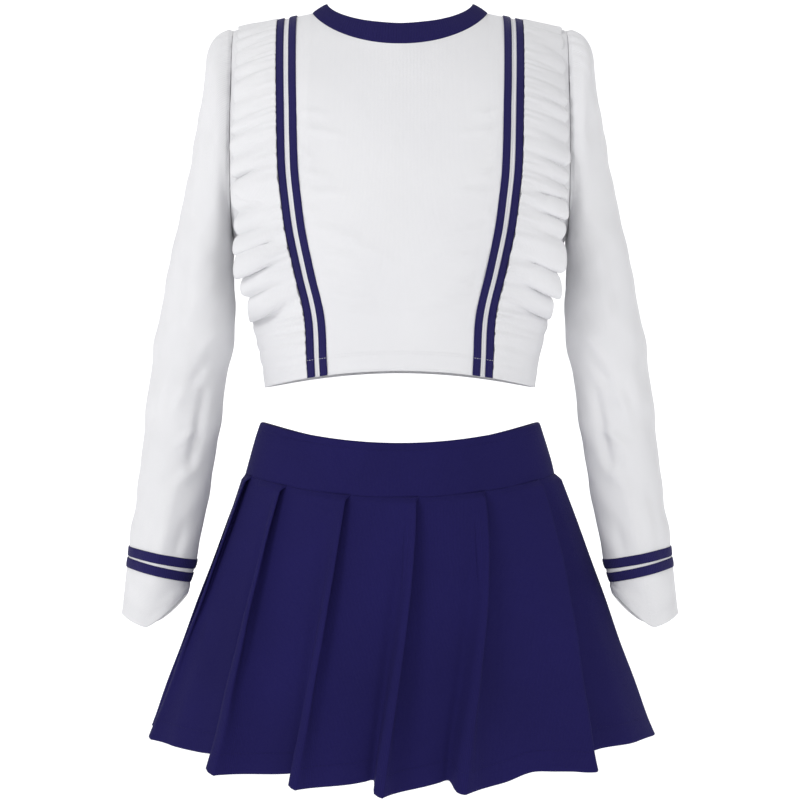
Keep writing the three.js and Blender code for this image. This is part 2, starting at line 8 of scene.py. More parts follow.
# %% Load the frame
import math

import bpy
import numpy as np
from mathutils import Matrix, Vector


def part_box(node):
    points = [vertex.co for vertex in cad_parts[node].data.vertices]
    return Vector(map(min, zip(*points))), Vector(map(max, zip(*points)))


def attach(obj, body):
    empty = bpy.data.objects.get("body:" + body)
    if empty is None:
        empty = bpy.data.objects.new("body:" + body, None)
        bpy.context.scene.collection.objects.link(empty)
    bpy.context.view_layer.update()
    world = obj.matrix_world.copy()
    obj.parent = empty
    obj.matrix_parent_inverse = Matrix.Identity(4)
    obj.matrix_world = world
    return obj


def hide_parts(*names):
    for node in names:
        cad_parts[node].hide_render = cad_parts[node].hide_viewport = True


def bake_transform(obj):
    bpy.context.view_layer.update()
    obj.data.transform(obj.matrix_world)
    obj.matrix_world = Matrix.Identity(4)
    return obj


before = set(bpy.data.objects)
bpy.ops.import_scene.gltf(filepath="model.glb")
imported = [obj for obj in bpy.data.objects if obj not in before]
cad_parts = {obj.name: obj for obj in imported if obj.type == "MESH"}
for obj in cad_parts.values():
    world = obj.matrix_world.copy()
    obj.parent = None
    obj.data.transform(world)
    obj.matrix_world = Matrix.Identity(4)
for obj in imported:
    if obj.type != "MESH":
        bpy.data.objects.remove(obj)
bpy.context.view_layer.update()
MM = 0.001

# %% [markdown]
# ## Camera and light
# A catalogue picture of a garment is taken level, from a few metres away, at about the height of the
# waist. A long lens keeps the cuffs and the hem from growing towards the camera. The room is a plain
# pale sweep, and three large soft lamps stand in for a studio's softboxes: the strongest one is high on
# the left, so that the pleats throw their shade to the right.

# %% Camera, sweep and lamps
CAMERA_HEIGHT = 22 * MM
CAMERA_DISTANCE = 2.2
FRAME_WIDTH = 0.8  # what the frame takes in at the middle of the body

camera = bpy.data.objects.new("camera", bpy.data.cameras.new("camera"))
bpy.context.scene.collection.objects.link(camera)
camera.location = (0, -CAMERA_DISTANCE, CAMERA_HEIGHT)
camera.rotation_euler = (math.pi / 2, 0, 0)
camera.data.sensor_width = 36
camera.data.lens = 36 * CAMERA_DISTANCE / FRAME_WIDTH
bpy.context.scene.camera = camera


def link(name, mesh):
    piece = bpy.data.objects.new(name, mesh)
    bpy.context.scene.collection.objects.link(piece)
    return piece


def lamp(name, place, size, watts):
    light = bpy.data.lights.new(name, "AREA")
    light.size = size
    light.energy = watts
    holder = link(name, light)
    holder.location = place
    holder.rotation_euler = (-Vector(place)).to_track_quat("-Z", "Y").to_euler()


def sheet_of_paper(name, corners, colour, glow):
    mesh = bpy.data.meshes.new(name)
    mesh.from_pydata(corners, [], [(0, 1, 2, 3)])
    material = bpy.data.materials.new(name)
    material.use_nodes = True
    shader = material.node_tree.nodes["Principled BSDF"]
    shader.inputs["Base Color"].default_value = (*colour, 1)
    shader.inputs["Roughness"].default_value = 0.9
    shader.inputs["Emission Color"].default_value = (1, 1, 1, 1)
    shader.inputs["Emission Strength"].default_value = glow
    mesh.materials.append(material)
    link(name, mesh)


FLOOR_Z = -0.97  # about where the floor is below a skirt that is worn
FLOOR_REACH = 8
WALL_HALF_WIDTH = WALL_TOP = 5
PAPER = (0.86, 0.86, 0.87)
floor_corners = [(x * FLOOR_REACH, y * FLOOR_REACH, FLOOR_Z) for x, y in ((-1, -1), (1, -1), (1, 1), (-1, 1))]
wall_corners = [
    (x * WALL_HALF_WIDTH, FLOOR_REACH, z)
    for x, z in ((-1, FLOOR_Z), (1, FLOOR_Z), (1, WALL_TOP), (-1, WALL_TOP))
]
sheet_of_paper("floor", floor_corners, PAPER, 0.46)
sheet_of_paper("wall", wall_corners, PAPER, 0.5)
lamp("key_softbox", (-2.2, -1.9, 1.9), 1.1, 35)
lamp("fill_softbox", (2.3, -2.2, 0.6), 2.0, 11)
lamp("back_softbox", (0.6, 2.4, 2.0), 1.8, 16)
bpy.context.scene.view_settings.view_transform = "Standard"

world = bpy.data.worlds.new("studio")
bpy.context.scene.world = world
world.use_nodes = True
world.node_tree.nodes["Background"].inputs["Color"].default_value = (1, 1, 1, 1)
world.node_tree.nodes["Background"].inputs["Strength"].default_value = 0.63

# %% [markdown]
# ## Shader groups that the finishes share
# Two effects turn up on nearly every piece. The first is the surface of the cloth: knit is rows of small
# V shapes, rib is ridges, and tape is a fine twill. All three are waves, so one group makes a height from
# two crossed waves and each material sets their spacing. The second is the slow change of tone that any
# dyed cloth shows. Each is a node group with named sockets, and puts out only a height or a mask, so each
# material keeps its own Principled shader.

# %% Group: cloth relief and tone
def group(name, sockets_in, sockets_out):
    tree = bpy.data.node_groups.new(name, "ShaderNodeTree")
    for label, default in sockets_in:
        socket = tree.interface.new_socket(label, in_out="INPUT", socket_type="NodeSocketFloat")
        socket.default_value = default
    for label in sockets_out:
        tree.interface.new_socket(label, in_out="OUTPUT", socket_type="NodeSocketFloat")
    return tree, tree.nodes.new("NodeGroupInput"), tree.nodes.new("NodeGroupOutput")


def math_node(tree, operation, first, second):
    node = tree.nodes.new("ShaderNodeMath")
    node.operation = operation
    for socket, value in zip(node.inputs, (first, second)):
        if isinstance(value, (int, float)):
            socket.default_value = value
        else:
            tree.links.new(value, socket)
    return node.outputs[0]


def wave(tree, u, per_metre, phase):
    turns = math_node(tree, "MULTIPLY", u, per_metre)
    angle = math_node(tree, "MULTIPLY", turns, math.tau)
    return math_node(tree, "SINE", math_node(tree, "ADD", angle, phase), 0)


cloth_relief, inside, outside = group(
    "cloth_relief",
    [("Columns per metre", 900), ("Rows per metre", 1200), ("Slant", 1.2)],
    ["Height", "Painted groove shade"],
)
uv = cloth_relief.nodes.new("ShaderNodeUVMap")
uv.uv_map = "cloth"
split = cloth_relief.nodes.new("ShaderNodeSeparateXYZ")
cloth_relief.links.new(uv.outputs["UV"], split.inputs[0])
columns = wave(cloth_relief, split.outputs["X"], inside.outputs["Columns per metre"], 0)
lean = math_node(cloth_relief, "MULTIPLY", columns, inside.outputs["Slant"])
rows = wave(cloth_relief, split.outputs["Y"], inside.outputs["Rows per metre"], lean)
height = math_node(cloth_relief, "ADD", columns, rows)
cloth_relief.links.new(height, outside.inputs["Height"])
# The lowest points of the relief make the mask where the materials paint shade into the grooves.
cloth_relief.links.new(math_node(cloth_relief, "LESS_THAN", height, -0.9), outside.inputs["Painted groove shade"])

cloth_tone, inside, outside = group("cloth_tone", [("Scale", 9), ("Fibre scale", 700)], ["Tone", "Fibre"])
place = cloth_tone.nodes.new("ShaderNodeTexCoord")
for socket, scale, detail in (("Tone", "Scale", 4), ("Fibre", "Fibre scale", 2)):
    noise = cloth_tone.nodes.new("ShaderNodeTexNoise")
    noise.inputs["Detail"].default_value = detail
    cloth_tone.links.new(place.outputs["Object"], noise.inputs["Vector"])
    cloth_tone.links.new(inside.outputs[scale], noise.inputs["Scale"])
    cloth_tone.links.new(noise.outputs[0], outside.inputs[socket])
print("shader groups:", [tree.name for tree in bpy.data.node_groups])

# %% [markdown]
# ## The finishes
# A fabric material mixes two shades by the tone mask, paints shade into the grooves between its stitches
# by darkening its colour there, and takes its bump from the relief. Sheen is what makes knit look soft at
# grazing angles. It is set on the shader's own sockets. Metal and nylon get a simpler material with a fine
# noise in their roughness.

# %% Materials
def add_node(tree, kind, **values):
    node = tree.nodes.new(kind)
    for key, value in values.items():
        node.inputs[key].default_value = value
    return node


def place_group(tree, which, values):
    node = tree.nodes.new("ShaderNodeGroup")
    node.node_tree = which
    for key, value in values.items():
        node.inputs[key].default_value = value
    return node


def mix_colour(tree, mask, first, second):
    node = tree.nodes.new("ShaderNodeMix")
    node.data_type = "RGBA"
    tree.links.new(mask, node.inputs[0])
    for socket, value in ((node.inputs[6], first), (node.inputs[7], second)):
        if isinstance(value, tuple):
            socket.default_value = (*value, 1)
        else:
            tree.links.new(value, socket)
    return node.outputs[2]


def map_range(tree, value, low, high, source=(0.3, 0.7)):
    node = tree.nodes.new("ShaderNodeMapRange")
    tree.links.new(value, node.inputs[0])
    for socket, number in zip(node.inputs[1:5], (*source, low, high)):
        socket.default_value = number
    return node.outputs[0]


# The third colour is painted shade, laid into the relief's grooves between the stitches.
def fabric(name, light, dark, painted_groove_shade, columns, rows, slant, bump, roughness, sheen):
    material = bpy.data.materials.new(name)
    material.use_nodes = True
    tree = material.node_tree
    shader = tree.nodes["Principled BSDF"]
    shader.inputs["Sheen Weight"].default_value = sheen
    shader.inputs["Sheen Roughness"].default_value = 0.5
    shader.inputs["Specular IOR Level"].default_value = 0.14
    spacing = {"Columns per metre": columns, "Rows per metre": rows, "Slant": slant}
    relief = place_group(tree, cloth_relief, spacing)
    tone = place_group(tree, cloth_tone, {"Scale": 9, "Fibre scale": 700})
    shade = mix_colour(tree, map_range(tree, tone.outputs["Tone"], 0, 1), dark, light)
    # Painted shade: the colour is mixed halfway to the darker groove colour where the relief is lowest.
    shade = mix_colour(tree, math_node(tree, "MULTIPLY", relief.outputs["Painted groove shade"], 0.5), shade, painted_groove_shade)
    tree.links.new(shade, shader.inputs["Base Color"])
    rough = map_range(tree, tone.outputs["Fibre"], roughness - 0.08, roughness + 0.08)
    tree.links.new(rough, shader.inputs["Roughness"])
    raised = add_node(tree, "ShaderNodeBump", Strength=bump, Distance=0.0003)
    fuzz = math_node(tree, "MULTIPLY", tone.outputs["Fibre"], 1.4)
    tree.links.new(math_node(tree, "ADD", relief.outputs["Height"], fuzz), raised.inputs["Height"])
    tree.links.new(raised.outputs["Normal"], shader.inputs["Normal"])
    return material


def smooth_finish(name, colour, metallic, roughness, coat=0.0):
    material = bpy.data.materials.new(name)
    material.use_nodes = True
    tree = material.node_tree
    shader = tree.nodes["Principled BSDF"]
    shader.inputs["Metallic"].default_value = metallic
    shader.inputs["Coat Weight"].default_value = coat
    tone = place_group(tree, cloth_tone, {"Scale": 60, "Fibre scale": 1500})
    worn = tuple(min(1, value * 1.35 + 0.02) for value in colour)
    shade = mix_colour(tree, map_range(tree, tone.outputs["Tone"], 0, 1), colour, worn)
    tree.links.new(shade, shader.inputs["Base Color"])
    rough = map_range(tree, tone.outputs["Fibre"], roughness - 0.06, roughness + 0.1)
    tree.links.new(rough, shader.inputs["Roughness"])
    return material


# The third colour of the white, navy and white thread groups below is painted shade, which the fabrics lay into
# the grooves between their stitches.
WHITE, WHITE_SHADE, WHITE_PAINTED_GROOVE_SHADE = (0.83, 0.83, 0.845), (0.8, 0.8, 0.82), (0.66, 0.66, 0.7)
NAVY, NAVY_SHADE, NAVY_PAINTED_GROOVE_SHADE = (0.0135, 0.0105, 0.092), (0.0115, 0.009, 0.078), (0.005, 0.004, 0.034)
TAPE, TAPE_SHADE = (0.018, 0.014, 0.105), (0.015, 0.012, 0.09)
RIB, RIB_SHADE = (0.0155, 0.012, 0.092), (0.013, 0.01, 0.08)
ZIP_TAPE, ZIP_TAPE_SHADE = (0.018, 0.014, 0.08), (0.015, 0.012, 0.07)
WHITE_THREAD, WHITE_THREAD_SHADE, WHITE_THREAD_PAINTED_GROOVE_SHADE = (0.86, 0.86, 0.87), (0.8, 0.8, 0.82), (0.6, 0.6, 0.64)
NAVY_THREAD, NAVY_THREAD_SHADE = (0.016, 0.0125, 0.095), (0.013, 0.01, 0.08)
# Each fabric: its three colours, the last a painted shade for its grooves, then columns and rows per metre,
# slant, bump, roughness and sheen.
finish = {
    "white_knit": fabric("white_double_knit", WHITE, WHITE_SHADE, WHITE_PAINTED_GROOVE_SHADE, 800, 1100, 1.2, 0.35, 0.85, 0.15),
    "ruffle_knit": fabric("white_ruffle_knit", WHITE, WHITE_SHADE, WHITE_PAINTED_GROOVE_SHADE, 800, 1100, 1.2, 0.35, 0.85, 0.15),
    "navy_knit": fabric("navy_double_knit", NAVY, NAVY_SHADE, NAVY_PAINTED_GROOVE_SHADE, 800, 1100, 1.2, 0.3, 0.88, 0.0),
    "navy_tape": fabric("navy_twill_tape", TAPE, TAPE_SHADE, NAVY_PAINTED_GROOVE_SHADE, 500, 900, 3.1, 0.5, 0.68, 0.04),
    "navy_rib": fabric("navy_rib_knit", RIB, RIB_SHADE, NAVY_PAINTED_GROOVE_SHADE, 600, 1300, 0.8, 0.4, 0.86, 0.03),
    "zip_tape": fabric("zip_herringbone", ZIP_TAPE, ZIP_TAPE_SHADE, NAVY_PAINTED_GROOVE_SHADE, 300, 1000, 6, 0.5, 0.7, 0.1),
    "white_thread": fabric(
        "white_thread", WHITE_THREAD, WHITE_THREAD_SHADE, WHITE_THREAD_PAINTED_GROOVE_SHADE, 400, 2500, 1, 0.4, 0.6, 0.2
    ),
    "navy_thread": fabric(
        "navy_thread", NAVY_THREAD, NAVY_THREAD_SHADE, NAVY_PAINTED_GROOVE_SHADE, 400, 2500, 1, 0.4, 0.7, 0.0
    ),
    "zip_coil": smooth_finish("nylon_coil", (0.016, 0.013, 0.07), 0, 0.35),
    "painted_metal": smooth_finish("painted_slider", (0.02, 0.017, 0.09), 0.3, 0.3, 0.5),
    "bright_metal": smooth_finish("plated_steel", (0.6, 0.6, 0.62), 1, 0.28),
}
print("finishes:", len(finish))

# %% [markdown]
# ## Cloth as a thick sheet
# A cloth simulation would let the garment fall in, because there is no wearer in it. It is shown filled
# out, so each piece is laid as a grid of points on the shape of the body instead, the way a pattern piece
# is laid on a dress form. The sheet gets a real thickness and a rounded edge, so that hems and cuffs show
# an edge and an inside. It also gets a map in metres for its knit.

# %% Helper: thick sheet from a grid
def grid_normals(points, ring=False):
    """points is rows x columns x 3; rows go up and columns go anticlockwise seen from above."""
    if ring:
        across = np.roll(points, -1, axis=1) - np.roll(points, 1, axis=1)
    else:
        across = np.gradient(points, axis=1)
    normal = np.cross(across, np.gradient(points, axis=0))
    length = np.linalg.norm(normal, axis=2, keepdims=True)
    return normal / np.maximum(length, 1e-9)


def cloth(name, points, thickness, ring=False, edge=0.35):
    """A closed sheet: points are its outer face, in millimetres."""
    rows, columns = points.shape[:2]
    normal = grid_normals(points, ring)
    thickness = np.broadcast_to(np.asarray(thickness, float), (rows, columns))[..., None]
    inner = points - normal * thickness
    index = np.arange(rows * columns).reshape(rows, columns)
    inner_index = index + rows * columns
    steps = np.arange(columns if ring else columns - 1)
    nxt = (steps + 1) % columns
    quads = []

    def strip(a, b, c, d):
        quads.append(np.stack([a, b, c, d], axis=-1).reshape(-1, 4))

    strip(index[:-1][:, steps], index[:-1][:, nxt], index[1:][:, nxt], index[1:][:, steps])
    below, above = inner_index[:-1], inner_index[1:]
    strip(below[:, steps], above[:, steps], above[:, nxt], below[:, nxt])
    extra = []
    start = 2 * rows * columns

    def rim(line, back, outward, flip):
        nonlocal start
        middle = (points.reshape(-1, 3)[line] + inner.reshape(-1, 3)[line]) / 2 + outward * edge
        extra.append(middle)
        mid = start + np.arange(len(line))
        start += len(line)
        first = np.arange(len(line)) if back else np.arange(len(line) - 1)
        second = (first + 1) % len(line)
        far = line + rows * columns
        for near_side, far_side in ((line, mid), (mid, far)):
            order = [near_side[first], far_side[first], far_side[second], near_side[second]]
            quads.append(np.stack(order if not flip else order[::-1], axis=-1))

    def unit(vectors):
        return vectors / np.maximum(np.linalg.norm(vectors, axis=-1, keepdims=True), 1e-9)

    if ring:
        rim(index[0], True, unit(points[0] - points[1]), False)
        rim(index[-1], True, unit(points[-1] - points[-2]), True)
    else:
        around = np.concatenate([index[0], index[1:, -1], index[-1, -2::-1], index[-2:0:-1, 0]])
        out = np.concatenate([
            unit(points[0] - points[1]), unit(points[1:, -1] - points[1:, -2]),
            unit(points[-1, -2::-1] - points[-2, -2::-1]), unit(points[-2:0:-1, 0] - points[-2:0:-1, 1]),
        ])
        rim(around, True, out, False)
    vertices = np.concatenate([points.reshape(-1, 3), inner.reshape(-1, 3), *extra]) * MM
    faces = np.concatenate(quads)
    mesh = bpy.data.meshes.new(name)
    mesh.from_pydata(vertices.tolist(), [], faces.tolist())
    run = np.linalg.norm(np.diff(points, axis=1, append=points[:, :1] if ring else points[:, -1:]), axis=2)
    u = np.concatenate([[0], np.cumsum(run.mean(axis=0))[:-1]])
    v = np.concatenate([[0], np.cumsum(np.linalg.norm(np.diff(points, axis=0), axis=2).mean(axis=1))])
    flat = np.stack(np.meshgrid(u, v), axis=-1).reshape(-1, 2) * MM
    edges = np.concatenate([flat[index[0]], flat[index[-1]]]) if ring else flat[around]
    per_vertex = np.concatenate([flat, flat, edges])
    layer = mesh.uv_layers.new(name="cloth")
    loops = np.empty(len(mesh.loops), dtype=np.int32)
    mesh.loops.foreach_get("vertex_index", loops)
    layer.data.foreach_set("uv", per_vertex[loops].ravel())
    mesh.polygons.foreach_set("use_smooth", [True] * len(mesh.polygons))
    mesh.update()
    return link(name, mesh)


def wear(piece, material, body=None, replaces=()):
    """Gives a piece its finish, the body it moves with, and the model's nodes that it stands for."""
    piece.data.materials.clear()
    piece.data.materials.append(finish[material])
    if replaces:
        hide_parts(*replaces)
    if body:
        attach(piece, body)
    return piece


def cut(points, ring=False):
    """Measures a piece's pattern on the grid that it was laid out on: width, length and area, which are not kept.
    """
    if ring:
        points = np.concatenate([points, points[:, :1]], axis=1)
    along, up = np.diff(points, axis=1), np.diff(points, axis=0)
    width = np.linalg.norm(along, axis=2).sum(axis=1).max() * MM
    length = np.linalg.norm(up, axis=2).sum(axis=0).max() * MM
    area = np.linalg.norm(np.cross(along[:-1], up[:, :-1]), axis=2).sum() * MM * MM
    area = float(min(area, width * length))


def smooth(t):
    t = np.clip(t, 0, 1)
    return t * t * (3 - 2 * t)


def mix(a, b, t):
    return a + (b - a) * t


def through(places, values):
    """A smooth curve through values at rising places, level at both ends."""
    places, values = np.asarray(places, float), np.asarray(values, float)
    slopes = np.zeros_like(values)
    slopes[1:-1] = (values[2:] - values[:-2]) / (places[2:] - places[:-2])

    def curve(z):
        z = np.clip(z, places[0], places[-1])
        i = np.clip(np.searchsorted(places, z, side="right") - 1, 0, len(places) - 2)
        span = places[i + 1] - places[i]
        t = (z - places[i]) / span
        rise = (2 * t**3 - 3 * t**2 + 1) * values[i] + (t**3 - 2 * t**2 + t) * span * slopes[i]
        return rise + (3 * t**2 - 2 * t**3) * values[i + 1] + (t**3 - t**2) * span * slopes[i + 1]

    return curve


def ripple(points, lengths, phase=0.0):
    """A slow, uneven swell from a few crossed sine waves: one number for each point, about -1 to 1."""
    x, y, z = points[..., 0], points[..., 1], points[..., 2]
    total = 0
    for k, length in enumerate(lengths):
        turn = phase + 1.7 * k
        run = x * math.cos(turn) + z * math.sin(turn) + 0.6 * y * math.sin(2.3 * turn)
        bend = 0.9 * np.sin((z * math.cos(turn) - x * math.sin(turn)) / (1.9 * length) + 2 * turn)
        total = total + np.sin(2 * math.pi * run / length + bend + 3 * turn)
    return total / len(lengths)


def creases(points, strokes):
    """Soft folds drawn as strokes on the front view: (x, z) to (x, z), half width, height."""
    x, z = points[..., 0], points[..., 2]
    total = np.zeros(x.shape)
    for (x0, z0), (x1, z1), width, rise in strokes:
        dx, dz = x1 - x0, z1 - z0
        along = ((x - x0) * dx + (z - z0) * dz) / (dx * dx + dz * dz)
        end = np.clip(along, 0, 1)
        away = np.hypot(x - x0 - end * dx, z - z0 - end * dz)
        fade = 0.35 + 0.65 * np.sin(math.pi * end)
        total += rise * fade * np.exp(-((away / width) ** 2))
    return total


# %% [markdown]
# ## The form that the top is cut to
# A dressmaker's form is described by its silhouette and its depth at a few heights. The same numbers made
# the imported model: the half width, the half depth in front and behind, the hem, the shoulder line and the
# neckline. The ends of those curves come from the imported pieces' own boxes.

# %% Body form
panel_low, panel_high = (np.array(corner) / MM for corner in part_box("left_front_side_panel"))
ARMHOLE_X = panel_high[0]
HEM_SIDE_Z, SHOULDER_Z = panel_low[2], 391
HEM_RISE, HEM_HALF_WIDTH = 15, 133
UNDERARM_Z = 184
NECK_HALF_WIDTH, NECK_POINT_Z = 87, 408
SHOULDER_SLOPE = (NECK_POINT_Z - SHOULDER_Z) / (ARMHOLE_X - NECK_HALF_WIDTH)
NECK_DROP = {-1: 42, 1: 21}
half_width = through([HEM_SIDE_Z, 102, 156, UNDERARM_Z, 244, SHOULDER_Z], [133, 147, 153, 166, 185, 185])
DEPTH_HEIGHTS = [35, 110, 165, 230, 300, 367, 420]
half_depth = {
    -1: through(DEPTH_HEIGHTS, [97, 108, 119, 116, 104, 82, 78]),
    1: through(DEPTH_HEIGHTS, [89, 93, 98, 101, 99, 82, 74]),
}
tape_line = through([35, 62, 102, 142, 182, 222, 250, 300, 410], [79, 80, 82, 91, 99.5, 105, 107.5, 109, 112])
FRONT, BACK = -1, 1


def ridge_z(x):
    return SHOULDER_Z + SHOULDER_SLOPE * (ARMHOLE_X - np.abs(x))


def neck_z(x, side):
    return NECK_POINT_Z - NECK_DROP[side] * np.sqrt(np.clip(1 - (x / NECK_HALF_WIDTH) ** 2, 0, 1)) ** 1.3


def body_depth(x, z, side):
    across = np.sqrt(np.clip(1 - np.clip(np.abs(x) / half_width(z), 0, 1) ** 2.3, 0, 1))
    under = np.clip((ridge_z(x) - z) / 90, 0, 1)
    return half_depth[side](z) * across * np.sqrt(1 - (1 - under) ** 2)


def body_point(x_at, rise, side):
    """rise is 0 at the hem and 1 at the neckline or the shoulder seam; x_at gives x for a height."""
    share = np.sin(np.clip(rise, 0, 1) * math.pi / 2)
    z = mix(HEM_SIDE_Z, SHOULDER_Z, share)
    for _ in range(6):
        x = x_at(z)
        top = np.where(np.abs(x) < NECK_HALF_WIDTH, neck_z(x, side), ridge_z(x))
        z = mix(HEM_SIDE_Z + HEM_RISE * (1 - (x / HEM_HALF_WIDTH) ** 2), top, share)
    x = x_at(z)
    return np.stack([x, side * body_depth(x, z, side), z], axis=-1)


def side_edge(z):
    return np.minimum(half_width(z), ARMHOLE_X)


def lay(points, lift):
    """Raises a grid off itself along its own normals."""
    return points + grid_normals(points) * np.asarray(lift)[..., None]


print("form: half width", [round(float(half_width(z))) for z in (35, 102, 184, 300)])

# %% [markdown]
# ## Top: the knit panels
# The front is a centre panel and two side panels, joined under the tapes, and the back is the same. Knit
# doesn't lie dead flat: it swells a little between the seams, and the gathers pull short creases out of
# the tapes. Both are moves of the surface itself, so they catch the light from every side.

# %% Knit panels
CLOTH = 1.2
panel_grids, tape_grids = {}, {}
pulls = []
for k, z in enumerate([300, 283, 262, 240, 221, 203, 189, 168, 150, 133, 117]):
    reach = 26 + 17 * math.sin(2.1 * k) + (24 if z < 190 else 0)
    start = float(tape_line(z)) - 12
    for sign in (1, -1):
        fall = z - 5 - 4 * math.sin(k) - (9 if z < 190 else 0)
        pulls.append(((sign * start, z), (sign * (start - reach), fall), 3.0, 1.6))
pulls += [((-58, 178), (-6, 152), 6, 1.6), ((-62, 150), (-24, 139), 5, 1.2), ((60, 176), (28, 160), 5, 1.0)]


def centre_panel(name, side):
    across = np.linspace(-1, 1, 121)[None, :] * -side
    rise = np.linspace(0, 0.9995, 131)[:, None]
    points = body_point(lambda z: across * (tape_line(z) - 0.2), rise + 0 * across, side)
    inset = smooth((1 - np.abs(across)) / 0.2) * smooth(rise / 0.1) * smooth((1 - rise) / 0.15)
    swell = 1.3 * ripple(points, (170, 120, 90), 0.4 + side) * inset
    if side == FRONT:
        swell = swell + creases(points, pulls)
    panel_grids[name] = lay(points, swell)
    piece = wear(cloth(f"{name}_cloth", panel_grids[name], CLOTH), "white_knit", "top", [name])
    cut(panel_grids[name])


def side_panel(name, side, sign):
    out = np.sin(np.linspace(0, 0.998, 46) * math.pi / 2)[None, :]
    rise = np.linspace(0, 0.9995, 131)[:, None]
    points = body_point(lambda z: mix(tape_line(z) + 0.2, side_edge(z), out), rise + 0 * out, side)
    swell = 0.7 * ripple(points, (90, 60), side) * smooth(out / 0.3)
    points = lay(points if side == FRONT else points[:, ::-1], swell)
    points[..., 0] = np.minimum(points[..., 0], ARMHOLE_X)
    if sign < 0:
        points = points[:, ::-1] * (-1, 1, 1)
    panel_grids[name] = points
    piece = wear(cloth(f"{name}_cloth", points, CLOTH), "white_knit", "top", [name])
    cut(points)


centre_panel("front_centre_panel", FRONT)
centre_panel("back_centre_panel", BACK)
for word, sign in (("left", 1), ("right", -1)):
    side_panel(f"{word}_front_side_panel", FRONT, sign)
    side_panel(f"{word}_back_side_panel", BACK, sign)

# %% [markdown]
# ## Top: paired tapes
# The tapes are flat woven trim, edge-stitched on. Each is a strip that follows the same line over the
# shoulder from the front hem to the back hem. Its cross-section has a slight crown and turned-in edges,
# which is what keeps a narrow dark line from looking painted on.

# %% Tapes over the shoulder
TAPE_WIDTH, TAPE_GAP = 7.4, 4.8


def over_shoulder(x_at, columns, rows):
    """A grid from the front hem, over the shoulder, to the back hem."""
    share = np.linspace(0, 2, rows)[:, None] + 0 * np.asarray(columns)[None, :]
    front = body_point(lambda z: x_at(z, columns[None, :]), np.clip(share, 0, 1), FRONT)
    back = body_point(lambda z: x_at(z, columns[None, :]), np.clip(2 - share, 0, 1), BACK)
    return np.where((share <= 1)[..., None], front, back)


def mirrored(points, sign):
    return points if sign > 0 else points[:, ::-1] * (-1, 1, 1)


def tape(name, inner_edge, sign):
    across = np.linspace(0, 1, 9)
    points = over_shoulder(lambda z, u: tape_line(z) + inner_edge + TAPE_WIDTH * u, across, 261)
    crown = 0.9 + 0.45 * (1 - (2 * across - 1) ** 4)
    sway = 0.25 * ripple(points, (70, 45), inner_edge)
    tape_grids[name] = mirrored(lay(points, crown[None, :] + sway), sign)
    wear(cloth(f"{name}_cloth", tape_grids[name], 0.9, edge=0.2), "navy_tape", "top", [name])


for word, sign in (("left", 1), ("right", -1)):
    tape(f"{word}_inner_tape", -TAPE_GAP / 2 - TAPE_WIDTH, sign)
    tape(f"{word}_outer_tape", TAPE_GAP / 2, sign)
print("tapes:", 4)

# %% [markdown]
# ## Top: gathered ruffles
# A ruffle is a strip about half as long again as the seam it is gathered into. Along the seam the extra
# length is caught in fine puckers, and it opens towards the free edge into soft lobes. So the strip's
# height and its outline both follow one wave, which grows from the seam to the edge. The lobes hang down
# a little, and each laps over the next. Below the bust the ruffle stands away from the body; near the hem
# it is caught into the side seam and lies flat, with only its creases left.

# %% Ruffles
RUFFLE_WIDTH = 52
LOBES_PER_SIDE = 19
ruffle_reach = through([35, 96, 107, 116, 165, 255, 262, 391], [134, 143.5, 150, 156, 157, 160, 162, 160])
ruffle_hold = through([96, 120, 230, 300], [0, 60, 60, 0])
lobe_size = through(
    [35, 62, 96, 110, 125, 160, 200, 250, 300, 400], [0.2, 0.6, 1.1, 2.6, 4.0, 4.2, 3.2, 2.3, 1.2, 1.0]
)
crease_size = through([35, 56, 90, 150, 250, 400], [0.1, 0.9, 1.5, 1.2, 0.9, 0.8])


def seam_x(z):
    return tape_line(z) + TAPE_GAP / 2 + TAPE_WIDTH + 0.3


